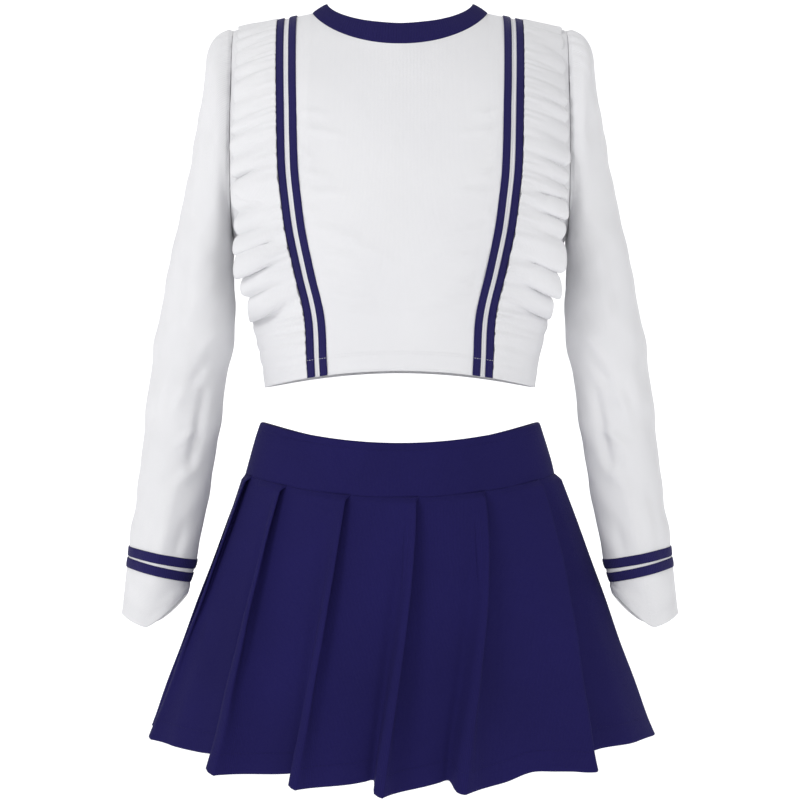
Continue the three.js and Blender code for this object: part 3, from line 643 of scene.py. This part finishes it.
def ruffle(name, sign):
    across = np.linspace(0, 1, 31)
    rows = 621
    seam = over_shoulder(lambda z, u: seam_x(z) + 0 * u, across, rows)
    points = over_shoulder(
        lambda z, u: mix(seam_x(z), np.minimum(seam_x(z) + RUFFLE_WIDTH, ruffle_reach(z)), u), across, rows
    )
    side = np.where(np.linspace(0, 2, rows) <= 1, -1, 1)[:, None]
    held = mix(np.abs(seam[..., 1]), ruffle_hold(points[..., 2]), across[None, :])
    points[..., 1] = side * np.maximum(np.abs(points[..., 1]), held)
    run = np.linalg.norm(np.diff(seam[:, 0], axis=0, prepend=seam[:1, 0]), axis=1)
    along = (np.cumsum(run) / run.sum() * 2)[:, None]
    height = points[..., 2]
    uneven = 0.016 * np.sin(9 * along + sign) + 0.010 * np.sin(23 * along + 2 * sign)
    uneven = uneven + 0.004 * np.sin(47 * along)
    turn = math.tau * LOBES_PER_SIDE * (along + uneven)
    open_out = smooth((across - 0.04) / 0.8)[None, :]
    size = lobe_size(height) * (1 + 0.4 * np.sin(turn / 2.7 + 1.1 * sign) + 0.2 * np.sin(turn / 4.3 + sign))
    lobe = (0.5 + 0.5 * np.sin(turn + 0.6 * across)) ** 0.75
    fine = np.sin(turn * 2.1 + 1.3 * across + 1.5 * np.sin(turn / 3.1)) + 0.6 * np.sin(turn * 3.4 - across)
    fine_reach = np.clip(1 - across / (0.55 + 0.4 * np.sin(turn / 1.9) ** 2), 0, 1) ** 0.8
    pucker = 0.55 * crease_size(height) * fine * fine_reach
    near_shoulder = smooth(np.abs(along - 1) / 0.12)
    free = smooth((height - 98) / 16)
    stand = mix(0.2, mix(0.3, 2.0, smooth((300 - height) / 60)), free)
    lift = 1.9 + stand * open_out + size * (0.35 + 1.05 * open_out * mix(0.3, 1, free)) * lobe + pucker
    flat_end = smooth((1 - np.abs(along - 1)) / 0.03)
    points = lay(points, lift * flat_end + 1.4 * (1 - flat_end))
    # The lobes hang towards the hem, and the folds between them are drawn in from the free edge.
    hang = mix(0, 3.5, free) * near_shoulder * across**1.4
    lap = near_shoulder * open_out * free * size * np.clip(size / 3, 0, 1.5) * 0.85 * np.cos(turn)
    points[..., 2] -= (hang + lap) * flat_end
    points[..., 0] -= open_out**2 * size * 1.5 * (1 - lobe) ** 1.4 * mix(0.4, 1, free)
    points[..., 0] = np.minimum(points[..., 0], ARMHOLE_X - 1.3 + 1.0 * across)
    grid = mirrored(points, sign)
    piece = wear(cloth(f"{name}_cloth", grid, 0.9, edge=0.4), "ruffle_knit", "top", [name])
    cut(grid)
    return float(run.sum())


for word, sign in (("left", 1), ("right", -1)):
    print(f"{word} ruffle seam: {ruffle(word + '_ruffle', sign):.0f} mm")

# %% [markdown]
# ## Top: neck band
# Rib knit stretches round a neckline and hugs it. The ribs run across the band, so they are real ridges
# here, with the band folded over at its top edge. The band is a ring: its lower edge is the neckline's own
# curve, and it leans in towards the neck.

# %% Neck band
BAND_CLOTH = 1.8
RIBS = 190


def neck_band(name):
    turn = math.tau * np.arange(RIBS * 4) / (RIBS * 4)
    up = np.linspace(0, 1, 13)[:, None]
    x = np.cos(turn) * NECK_HALF_WIDTH
    side = np.where(np.sin(turn) < 0, -1, 1)
    z = np.where(side < 0, neck_z(x, -1), neck_z(x, 1))
    y = side * np.where(side < 0, body_depth(x, z, -1), body_depth(x, z, 1))
    # The band leans in more at the sides of the neck, and is narrower there, than in front.
    aside = np.abs(np.cos(turn)) ** 2.5
    width, lean = mix(22.8, 16.4, aside), mix(0.38, 0.84, aside)
    rise = np.sqrt(1 - lean**2)
    points = np.stack([
        x - np.cos(turn) * width * lean * up,
        y - np.sin(turn) * width * lean * up,
        z + 0.2 + width * rise * up,
    ], axis=-1)
    rib = 0.22 * np.cos(np.arange(RIBS * 4) * math.pi / 2)[None, :] * smooth(np.sin(math.pi * up) * 3)
    roll = 0.5 * np.sin(math.pi * up)
    points = points + grid_normals(points, True) * (rib + roll)[..., None]
    piece = wear(cloth(f"{name}_cloth", points, BAND_CLOTH, ring=True, edge=0.7), "navy_rib", "top", [name])
    cut(points, True)


neck_band("neck_band")

# %% [markdown]
# ## Sleeves
# A sleeve is a tube whose loops follow the arm: out over the shoulder, down and slightly forward, with a
# bend at the elbow. The loops are the same as in the imported model. Each fold is a soft stroke: drag lines
# under the shoulder, a few long folds down the upper arm, and the bunch inside the elbow. The cuff's edge
# is lowest at the front of the wrist, rises most on the side towards the body, and a little outside.
#
# The sleeve's cloth takes the place of the model's sleeve, and its placement is baked into its points. It
# is tied to no body, while the cuff tapes and the cuff stitches go with the sleeve's body.

# %% Sleeves and cuff tapes
SLEEVE_RINGS = [  # outer (x, z), inner (x, z), half depth, centre along y
    (188, 378, 166.6, 172, 58, 1), (199, 322, 166.8, 150, 56, 2), (209, 262, 166.8, 126, 52, 3),
    (221, 200, 165.5, 104, 48, 3), (236.5, 130, 166.5, 78, 44, 3), (250, 45, 175, 30, 39, 0),
    (256.5, -18, 182.5, -24, 36, -5), (263, -78, 192.5, -84, 33, -12), (269, -135, 203, -143, 31, -20),
    (277.5, -199, 216, -200, 30, -28),
]
ARMHOLE_GAP = 0.5


def sleeve_grid(columns, rows):
    """Rows go up from the cuff's edge to the armhole; columns start at the front of the arm."""
    turn = math.tau * np.arange(columns) / columns
    out = (1 + np.sin(turn)) / 2
    loops = [
        np.stack([mix(ix, ox, out), y - depth * np.cos(turn), mix(iz, oz, out)], axis=-1)
        for ox, oz, ix, iz, depth, y in SLEEVE_RINGS
    ]
    z = mix(UNDERARM_Z, SHOULDER_Z, out)
    half = np.where(np.cos(turn) < 0, body_depth(ARMHOLE_X, z, 1), -body_depth(ARMHOLE_X, z, -1))
    loops = np.array([np.stack([np.full(columns, ARMHOLE_X + ARMHOLE_GAP), half, z], axis=-1), *loops])[::-1]
    first = 2 * loops[0] - loops[1]
    last = 2 * loops[-1] - loops[-2]
    loops = np.concatenate([[first], loops, [last]])
    place = np.linspace(0, len(loops) - 3, rows)
    i = np.minimum(place.astype(int), len(loops) - 4)
    t = (place - i)[:, None, None]
    a, b, c, d = (loops[i + k] for k in range(4))
    bend = (2 * a - 5 * b + 4 * c - d) * t**2 + (3 * b - a - 3 * c + d) * t**3
    return 0.5 * (2 * b + (c - a) * t + bend), turn


SLEEVE_FOLDS = [  # strokes on the front view of the wearer's left sleeve
    ((192, 30), (206, -44), 5, -4.5), ((205, 44), (224, 10), 6, 3.0), ((186, 62), (214, 28), 6, -3.2),
    ((178, 92), (200, 64), 6, 2.4), ((196, -6), (222, -22), 5, 2.6), ((198, -40), (226, -66), 6, 2.2),
    ((200, 330), (212, 210), 5, -2.2), ((188, 356), (198, 250), 4, 1.8), ((182, 344), (184, 280), 3.5, -1.8),
    ((214, 214), (232, 110), 7, 2.0), ((204, 180), (214, 96), 6, -1.8), ((234, 120), (246, 30), 6, -1.5),
    ((222, -70), (240, -150), 7, 1.8), ((244, -60), (262, -150), 6, -1.6), ((212, -96), (222, -150), 5, -1.3),
    ((226, 60), (238, 2), 7, 1.6), ((248, 6), (258, -50), 5, -1.4),
]


def cuff_lift(turn):
    """The cuff's edge rises towards the body, and a little towards the outside."""
    return 33 * np.clip(np.cos(turn + 1.5), 0, 1) ** 1.5 + 12 * np.clip(np.cos(turn - 1.5), 0, 1) ** 1.5


def shaped_sleeve(columns, rows):
    points, turn = sleeve_grid(columns, rows)
    front = np.clip(np.cos(turn) * 1.5, 0, 1)[None, :]
    normal = grid_normals(points, True)
    sleeve_top = smooth((ARMHOLE_X + 26 - points[..., 0]) / 22) * smooth((points[..., 2] - 150) / 30)
    free = 1 - sleeve_top
    shallower = [(a, b, width, 0.7 * rise) for a, b, width, rise in SLEEVE_FOLDS[::-1]]
    folds = creases(points, SLEEVE_FOLDS) * front + creases(points, shallower) * (1 - front) * 0.6
    bulk = 1.5 * ripple(points, (120, 75, 52), 0.8) + 0.5 * ripple(points, (31, 23), 2.1)
    near_cuff = smooth((points[..., 2] + 205) / 40)
    gathers = 0.9 * np.sin(turn * 34)[None, :] * sleeve_top * smooth((points[..., 2] - 320) / 30)
    past_seam = points[..., 0] - ARMHOLE_X
    move = (folds + bulk * (0.35 + 0.65 * near_cuff)) * free + gathers * smooth(past_seam / 3)
    # The sleeve's head is eased into the armhole, so it swells as soon as it leaves the seam.
    move = move + 2.2 * smooth(past_seam / 5) * sleeve_top
    points = points + normal * move[..., None]
    # The lowest stretch of the cuff is drawn up along the arm to shape its edge.
    reach = smooth((-149 - points[..., 2]) / 57)
    points[..., 2] += reach * cuff_lift(turn)[None, :]
    points[..., 0] -= reach * 0.2 * cuff_lift(turn)[None, :]
    nearest = ARMHOLE_X + ARMHOLE_GAP - 3 * smooth((150 - points[..., 2]) / 40)
    points[..., 0] = np.maximum(points[..., 0], nearest)
    return points


def swing_cloth(piece, sign, nodes, material):
    wear(piece, material, None, nodes)
    start, end = (sign * 129 * MM, 0, 0), (sign * 145.4 * MM, 0, -2.46 * MM)
    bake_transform(piece)


def cuff_tape(points, low, width, slope):
    """A band of the sleeve between two level lines, which drop a little towards the body."""
    across = np.linspace(0, 1, 7)
    level = points[..., 2] + slope * (258 - points[..., 0])
    grid = np.empty((len(across), points.shape[1], 3))
    for j in range(points.shape[1]):
        order = np.maximum.accumulate(level[:, j] + 1e-6 * np.arange(len(level)))
        for k in range(3):
            grid[:, j, k] = np.interp(low + width * across, order, points[:, j, k])
    crown = 0.8 + 0.4 * (1 - (2 * across - 1) ** 4)
    return grid + grid_normals(grid, True) * crown[:, None, None]


sleeve_points = shaped_sleeve(144, 300)
CUFF_TAPE = 9.4
for word, sign in (("left", 1), ("right", -1)):
    sleeve = cloth(f"{word}_sleeve_cloth", mirrored(sleeve_points, sign), CLOTH, ring=True, edge=0.4)
    swing_cloth(sleeve, sign, [f"{word}_sleeve"], "white_knit")
    cut(mirrored(sleeve_points, sign), True)
    for level, low, slope in (("lower", -145.2, 0.24), ("upper", -133.7, 0.2)):
        band = cuff_tape(sleeve_points, low, CUFF_TAPE, slope)
        name = f"{word}_{level}_cuff_tape"
        band_cloth = cloth(f"{name}_cloth", mirrored(band, sign), 0.8, ring=True, edge=0.2)
        wear(band_cloth, "navy_tape", f"{word}_sleeve", [name])
print("sleeve points:", sleeve_points.shape)

# %% [markdown]
# ## Skirt: the cone that it hangs on
# The skirt is a circular kind of shape: an oval at the waist that opens steadily to the hem. A point on it
# is given by an angle from the centre front towards the wearer's left, in degrees, a distance down from the
# waistband's top edge, and a distance out from the plain cone. The oval dips in front and behind, because
# the waist sits lower there than at the sides.

# %% Skirt cone
BAND_HEIGHT, SKIRT_DROP = 51, 267
FRONT_DIP, BACK_DIP = 19, 25
ZIP_CLOSED_FROM, PLACKET_GAP = 181, 5.4


def skirt_at(angle, down, out=0.0):
    turn = np.radians(angle)
    half_x = 139 + 0.29 * np.minimum(down, BAND_HEIGHT) + 0.356 * np.maximum(0, down - BAND_HEIGHT) + out
    half_y = 95 + 0.335 * down + out
    dip = np.where(np.cos(turn) > 0, FRONT_DIP, BACK_DIP) * np.cos(turn) ** 2
    return np.stack([half_x * np.sin(turn), -half_y * np.cos(turn), -down - dip], axis=-1)


def beside_placket(angle, down):
    """Moves a piece's back edge clear of the zip, and leaves the rest of it where it was."""
    gap = mix(PLACKET_GAP, 0.2, smooth((down - ZIP_CLOSED_FROM - 4) / 14))
    turn = np.degrees(gap / (139 + 0.356 * down))
    side = 1 if angle.mean() < 180 else -1
    return angle - side * turn * smooth((13 - np.abs(angle - 180)) / 11)


# %% [markdown]
# ## Skirt: knife pleats
# A pleat is a fold that is stitched flat into the waist seam and free below it. Near the seam each panel
# lies over the next one, and the cloth runs back about 10 mm underneath. At the hem nothing holds the fold,
# so it opens into a rounded ridge with a steep side and a long, gentle one.
#
# A wave can't make a fold, since it never goes back under itself. So each pleat is a short list of points
# instead, once as it lies at the seam and once as it hangs at the hem: how far along the pleat, and how far
# out. One smooth curve runs through all of them, round the whole skirt, and the skirt changes from the one
# to the other on the way down. The pleats are uneven, as they are on a skirt that has been worn.

# %% Pleat folds
SEAM_LINES = [-71.5, -45.9, -18.8, 5.6, 30.6, 59.8, 84, 110, 134, 157, 203, 229, 258]
HEM_LINES = [-73.5, -41.2, -21.6, -3.6, 12.9, 44.3, 79.5, 108, 133, 157, 203, 228, 256]
HEM_RIDGES = [6, 15, 13, 15, 13, 14, 6, 13, 12, 9, 9, 12, 13]
STEEP_LEFT = [1, 1, 1, 1, 1, 0, 0, 0, 1, 1, 0, 1, 1]
# How far through the pleat | at the seam: along, out | at the hem: along, out, hem height, for each kind
LEFT_HALF = [
    (0.00, (0.00, 2.9), {1: (0.00, 1.00, 1.00), 0: (0.00, 1.00, 1.00)}),
    (0.05, (-0.01, 2.0), {1: (0.035, 0.84, 0.96), 0: (0.02, 0.70, 0.70)}),
    (0.12, (-0.12, 1.0), {1: (0.08, 0.46, 0.88), 0: (0.025, -0.20, 0.10)}),
    (0.19, (-0.15, 0.3), {1: (0.14, 0.06, 0.78), 0: (0.05, -0.75, -0.40)}),
    (0.26, (-0.05, 0.0), {1: (0.22, -0.25, 0.65), 0: (0.13, -0.95, -0.60)}),
    (0.36, (0.10, 0.1), {1: (0.34, -0.50, 0.45), 0: (0.28, -0.85, -0.65)}),
]
RIGHT_HALF = [
    (0.60, (0.44, 1.1), {1: (0.59, -0.80, 0.00), 0: (0.55, -0.40, -0.40)}),
    (0.76, (0.67, 1.8), {1: (0.76, -0.95, -0.40), 0: (0.72, 0.12, 0.00)}),
    (0.86, (0.81, 2.3), {1: (0.865, -1.00, -0.65), 0: (0.84, 0.50, 0.40)}),
    (0.915, (0.89, 2.6), {1: (0.89, -0.30, -0.15), 0: (0.90, 0.72, 0.70)}),
    (0.955, (0.95, 2.8), {1: (0.905, 0.66, 0.60), 0: (0.95, 0.88, 0.90)}),
]
# The pleat over the zip has its middle exactly on the centre back, and is flat there.
ZIP_PLEAT = 9
OVER_ZIP = [
    *LEFT_HALF[:4],
    (0.26, (0.06, 0.0), {1: (0.22, 0.2, 0.4)}), (0.33, (0.22, 0.0), {1: (0.32, 0.0, 0.2)}),
    (0.50, (0.50, 0.0), {1: (0.50, 0.0, 0.0)}), (0.66, (0.70, 0.6), {1: (0.68, 0.0, 0.0)}),
    (0.76, (0.78, 1.4), {1: (0.78, 0.2, 0.2)}), (0.86, (0.87, 2.2), {1: (0.87, 0.5, 0.5)}),
    (0.955, (0.96, 2.8), {1: (0.96, 0.9, 0.9)}),
]


def pleat_curves():
    """Five smooth curves of how far round the skirt a column is, counted in pleats."""
    count = len(SEAM_LINES)
    rows = []
    for i in range(-2, count + 2):
        here, after = i % count, (i + 1) % count
        lap, lap_after = 360 * (i // count), 360 * ((i + 1) // count)
        halves = ((LEFT_HALF, here), (RIGHT_HALF, after)) if here != ZIP_PLEAT else ((OVER_ZIP, here),)
        for half, ridge in halves:
            for share, (seam_along, seam_rise), kinds in half:
                along, rise, height = kinds[STEEP_LEFT[ridge]]
                rows.append((
                    i + share,
                    mix(SEAM_LINES[here] + lap, SEAM_LINES[after] + lap_after, seam_along),
                    seam_rise,
                    mix(HEM_LINES[here] + lap, HEM_LINES[after] + lap_after, along),
                    rise * HEM_RIDGES[ridge],
                    height * HEM_RIDGES[ridge],
                ))
    stops, *values = zip(*rows)
    return [through(stops, value) for value in values]


seam_turn, seam_out, hem_turn, hem_out, hem_height = pleat_curves()


def plain_turn(pleats):
    return np.interp(pleats, np.arange(-2, 16), [SEAM_LINES[i % 13] + 360 * (i // 13) for i in range(-2, 16)])


def pleated(pleats, down):
    """Points of the skirt's outer face; pleats counts round from the first fold line."""
    share = (down - BAND_HEIGHT) / SKIRT_DROP
    caught = 0.25 + 0.75 * smooth((down - BAND_HEIGHT) / 6)
    at_seam = mix(plain_turn(pleats), seam_turn(pleats), caught)
    angle = mix(at_seam, hem_turn(pleats), smooth(share) * 0.35 + share * 0.65)
    held = (1 - smooth(share / 0.95)) ** 0.7
    out = seam_out(pleats) * caught * held * 1.9 + hem_out(pleats) * share**0.8
    beside_zip = 1 - smooth((np.abs(angle - 180) - 9) / 11)
    out = out * (1 - beside_zip * (1 - 0.6 * smooth((down - 205) / 80)))
    angle = beside_placket(angle, down)
    points = skirt_at(angle, down, out)
    points[..., 2] += (6.5 + 9 * np.sin(np.radians(angle)) ** 2 - 0.45 * hem_height(pleats)) * share**2
    drift = 1.8 * ripple(points, (190, 130, 85), 1.3) * share * (1 - beside_zip)
    return points + (skirt_at(angle, down, out + 1) - skirt_at(angle, down, out)) * drift[..., None]


print("pleats:", len(SEAM_LINES))

# %% [markdown]
# ## Skirt: three pieces of cloth
# The skirt is cut in three: a front, and two backs that meet at the zip and are sewn together below it. Each
# piece is one grid of the pleated shape. Columns are packed closely where the cloth folds. The hem is
# turned up and stitched, so the sheet is thicker over its last few millimetres.

# %% Skirt cloth
PIECES = {"front": (-0.4, 6.5), "back_left": (6.5, 9.5), "back_right": (9.5, 12.6)}
skirt_grids = {}


def skirt_piece(name, start, end):
    columns = int(48 * (end - start)) + 1
    hem_rows, hung_rows, seam_rows = np.linspace(318, 300, 8), np.linspace(300, 66, 52), np.linspace(66, 51.2, 9)
    down = np.concatenate([hem_rows[:-1], hung_rows[:-1], seam_rows])
    pleats = np.linspace(start, end, columns)[None, :] + 0 * down[:, None]
    points = pleated(pleats, down[:, None] + 0 * pleats)
    hem = 0.7 * smooth((down - 297) / 2)[:, None]
    skirt_grids[name] = (points, down)
    piece = cloth(f"skirt_{name}_cloth", points, CLOTH + hem + 0 * pleats, edge=0.45)
    wear(piece, "navy_knit", "skirt", [f"skirt_{name}"])
    width = float(np.linalg.norm(np.diff(points[0], axis=0), axis=1).sum())
    cut(points)
    print(f"skirt {name}: hem {width:.0f} mm")


for name, (start, end) in PIECES.items():
    skirt_piece(name, start, end)

# %% [markdown]
# ## Skirt: waistband
# The waistband is a doubled strip of the same knit, so its top edge is a fold and not a cut. One sheet
# makes it: it goes up the outside, rolls over the top and comes down the inside as the facing. It swells a
# little between the fold and the seam, which is pressed flatter.

# %% Waistband
FACING_INSET = 3.6
BAND_SPANS = {"front": (-90, 90), "back_left": (90, 180), "back_right": (180, 270)}


def waistband(name, start, end):
    columns = int((end - start) / 1.2) + 1
    angle = np.linspace(start, end, columns)[None, :]
    roll = FACING_INSET / 2 + 0.2
    outside = np.linspace(51.0, roll, 26)
    over = np.linspace(0, math.pi, 11)[1:-1]
    inside = np.linspace(roll, 50.2, 20)
    down = np.concatenate([outside, roll - roll * np.sin(over), inside])[:, None]
    rolled = 0.35 - roll + roll * np.cos(over)
    out = np.concatenate([np.full(26, 0.35), rolled, np.full(20, 0.35 - 2 * roll)])[:, None]
    swell = 0.5 * np.sin(np.clip((down - roll) / (50.6 - roll), 0, 1) * math.pi) ** 0.6 * (out > 0)
    turn = beside_placket(angle + 0 * down, down + 0 * angle)
    points = skirt_at(turn, down + 0 * angle, out + swell + 0 * angle)
    soft = 0.35 * ripple(points, (120, 70), 0.5) * smooth((down - 4) / 12) * smooth((50 - down) / 10)
    points = points + grid_normals(points) * (soft * (out > 0))[..., None]
    piece = cloth(f"waistband_{name}_cloth", points, CLOTH, edge=0.35)
    wear(piece, "navy_knit", "skirt", [f"waistband_{name}", f"waistband_facing_{name}"])
    cut(points)
    return points


bands = {name: waistband(name, *span) for name, span in BAND_SPANS.items()}
print("waistband pieces:", len(bands))

# %% [markdown]
# ## Stitching
# Stitches are what tell a viewer that a seam was sewn, so they are made as real thread: short, slightly
# swollen lengths laid end to end along a seam, half sunk into the cloth. A hem on knit is sewn with two
# parallel rows. The tapes are edge-stitched in their own colour along both sides.

# %% Helper: a row of stitches
def stitch_row(name, path, normal, material, body=None, pitch=3.4, radius=0.2):
    """path and normal are points along the seam and the way out of the cloth there."""
    run = np.concatenate([[0], np.cumsum(np.linalg.norm(np.diff(path, axis=0), axis=1))])
    count = max(2, int(run[-1] / pitch))
    starts = (np.arange(count) + 0.14) * run[-1] / count
    stops = starts + 0.72 * run[-1] / count

    def at(where, values):
        return np.stack([np.interp(where, run, values[:, k]) for k in range(3)], axis=-1)

    head, tail = at(starts, path), at(stops, path)
    out = at((starts + stops) / 2, normal)
    out /= np.linalg.norm(out, axis=1, keepdims=True)
    way = (tail - head) / np.linalg.norm(tail - head, axis=1, keepdims=True)
    side = np.cross(way, out)
    rings = [(0.12, 0.55), (0.5, 1.0), (0.88, 0.55)]
    points = [head]
    for along, size in rings:
        middle = mix(head, tail, along)
        for turn in range(5):
            angle = math.tau * turn / 5
            points.append(middle + radius * size * (side * math.cos(angle) + out * math.sin(angle) * 1.1))
    points.append(tail)
    vertices = np.stack(points, axis=1).reshape(-1, 3)
    shape = [(0, 1 + (k + 1) % 5, 1 + k) for k in range(5)]
    for ring in range(2):
        low, high = 1 + 5 * ring, 6 + 5 * ring
        for k in range(5):
            n = (k + 1) % 5
            shape += [(low + k, low + n, high + n), (low + k, high + n, high + k)]
    shape += [(11 + k, 11 + (k + 1) % 5, 16) for k in range(5)]
    faces = (np.array(shape)[None] + 17 * np.arange(count)[:, None, None]).reshape(-1, 3)
    mesh = bpy.data.meshes.new(name)
    mesh.from_pydata((vertices * MM).tolist(), [], faces.tolist())
    mesh.uv_layers.new(name="cloth")
    mesh.polygons.foreach_set("use_smooth", [True] * len(mesh.polygons))
    wear(link(name, mesh), material, body, ())


def row_at(points, distance, ring=False):
    """The line across a grid that is a distance up from its first row, and the normals there."""
    normal = grid_normals(points, ring)
    run = np.linalg.norm(np.diff(points, axis=0), axis=2).cumsum(axis=0)
    run = np.concatenate([np.zeros((1, points.shape[1])), run])
    place = np.array([np.interp(distance, run[:, j], np.arange(len(points))) for j in range(points.shape[1])])
    low = np.minimum(place.astype(int), len(points) - 2)
    share = (place - low)[:, None]
    columns = np.arange(points.shape[1])
    line = mix(points[low, columns], points[low + 1, columns], share)
    way = mix(normal[low, columns], normal[low + 1, columns], share)
    if ring:
        line, way = np.concatenate([line, line[:1]]), np.concatenate([way, way[:1]])
    return line + way * 0.08, way


# %% [markdown]
# ## Stitches on the top
# The tapes are sewn down along both edges, and the hems and cuffs have two parallel rows. Where a tape
# crosses the hem, one row of white thread holds its end. Each stitch is a separate short length of thread
# that lies on the cloth, so the rows read as sewing from close by.

# %% Stitches on the top
for name, points in panel_grids.items():
    for k, distance in enumerate((16.2, 18.8)):
        line, way = row_at(points, distance)
        stitch_row(f"{name}_hem_stitches_{k + 1}", line, way, "white_thread", "top")
for name, points in tape_grids.items():
    for side, column in (("inner", 1), ("outer", -2)):
        way = grid_normals(points)[:, column]
        line = points[:, column] + 0.1 * way
        stitch_row(f"{name}_{side}_stitches", line, way, "navy_thread", "top", 3.0, 0.17)
    for end, grid in (("front", points), ("back", points[::-1])):
        line, way = row_at(grid, 16.8)
        way = way if end == "front" else -way
        line = line + (0.08 if end == "front" else 0.24) * way
        stitch_row(f"{name}_{end}_hem_stitches", line, way, "white_thread", "top", 2.4, 0.24)
for word, sign in (("left", 1), ("right", -1)):
    for k, distance in enumerate((12.2, 14.6)):
        line, way = row_at(mirrored(sleeve_points, sign), distance, ring=True)
        stitch_row(f"{word}_cuff_stitches_{k + 1}", line, way, "white_thread", f"{word}_sleeve")
print("stitched pieces of the top:", len(panel_grids) + len(tape_grids) + 2)

# %% [markdown]
# ## Stitches on the skirt
# The skirt has a row above its hem, a row along the top of the waistband and one on each side of the zip.
# The thread matches the cloth, and the rows follow the folds because they are taken from the same grids.

# %% Stitches on the skirt
for name, (points, down) in skirt_grids.items():
    line, way = row_at(points, 19)
    stitch_row(f"skirt_{name}_hem_stitches", line, way, "navy_thread", "skirt", 3.6, 0.2)
for name, points in bands.items():
    line, way = row_at(points, 46)
    stitch_row(f"waistband_{name}_top_stitches", line, way, "navy_thread", "skirt", 3.2, 0.18)
for word, piece, column in (("left", "back_left", -2), ("right", "back_right", 1)):
    points, down = skirt_grids[piece]
    rows = down <= ZIP_CLOSED_FROM + 4
    way = grid_normals(points)[rows, column]
    line = points[rows, column] + 0.08 * way
    stitch_row(f"zip_{word}_stitches", line, way, "navy_thread", "skirt", 3.0, 0.18)
print("stitched pieces of the skirt:", len(skirt_grids) + len(bands) + 2)

# %% [markdown]
# ## Zip, hook and bar
# A coil zip is a nylon thread wound into a flat spring on each tape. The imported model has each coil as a
# plain bar, so a wound one takes its place. Every turn is a short loop that leans a little, and leaves the
# narrow channel that the slider's post runs in. The slider, pull, stops, hook and bar are already their
# true shape, so they keep their solids and get the finish of painted and plated metal.

# %% Zip coils and metal finishes
def coil(name):
    low, high = (np.array(corner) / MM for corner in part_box(name))
    slope = math.atan(0.335)
    up = np.array([0, -math.sin(slope), math.cos(slope)])
    out = np.array([0, math.cos(slope), math.sin(slope)])
    length = (high[2] - low[2] - 1.5 * math.sin(slope)) / math.cos(slope)
    middle = (low + high) / 2
    wide, thick, thread = (high[0] - low[0]) / 2 - 0.28, 0.5, 0.27
    turns = int(length / 1.05)
    t = np.linspace(0, math.tau * turns, turns * 10 + 1)
    path = middle + np.outer(np.cos(t) * wide, [1, 0, 0]) + np.outer(np.sin(t) * thick, out)
    path += np.outer((t / (math.tau * turns) - 0.5) * (length - 1), up)
    way = np.gradient(path, axis=0)
    way /= np.linalg.norm(way, axis=1, keepdims=True)
    away = path - middle - np.outer((path - middle) @ up, up)
    away /= np.linalg.norm(away, axis=1, keepdims=True)
    side = np.cross(way, away)
    turn = np.arange(6) * math.tau / 6
    round_thread = np.cos(turn)[None, :, None] * away[:, None] + np.sin(turn)[None, :, None] * side[:, None]
    tube = path[:, None] + thread * round_thread
    rows = len(path)
    index = np.arange(rows * 6).reshape(rows, 6)
    nxt = np.roll(index, -1, axis=1)
    quads = np.stack([index[:-1], nxt[:-1], nxt[1:], index[1:]], axis=-1).reshape(-1, 4)
    faces = quads.tolist() + [index[0][::-1].tolist(), index[-1].tolist()]
    mesh = bpy.data.meshes.new(name + "_turns")
    mesh.from_pydata((tube.reshape(-1, 3) * MM).tolist(), [], faces)
    mesh.polygons.foreach_set("use_smooth", [True] * len(mesh.polygons))
    wear(link(name + "_turns", mesh), "zip_coil", "skirt", [name])
    return turns


def refinish(node, material):
    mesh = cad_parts[node].data
    mesh.materials.clear()
    mesh.materials.append(finish[material])
    if "cloth" not in mesh.uv_layers:
        layer = mesh.uv_layers.new(name="cloth")
        for loop in mesh.loops:
            x, _, z = mesh.vertices[loop.vertex_index].co
            layer.data[loop.index].uv = (x, z)


for word in ("left", "right"):
    print(f"{word} coil turns:", coil(f"zip_coil_{word}"))
    refinish(f"zip_tape_{word}", "zip_tape")
    refinish(f"zip_top_stop_{word}", "bright_metal")
for node, material in (
    ("zip_bottom_stop", "bright_metal"), ("waist_bar", "bright_metal"), ("waist_hook", "bright_metal"),
    ("zip_slider", "painted_metal"), ("zip_pull", "painted_metal"),
):
    refinish(node, material)
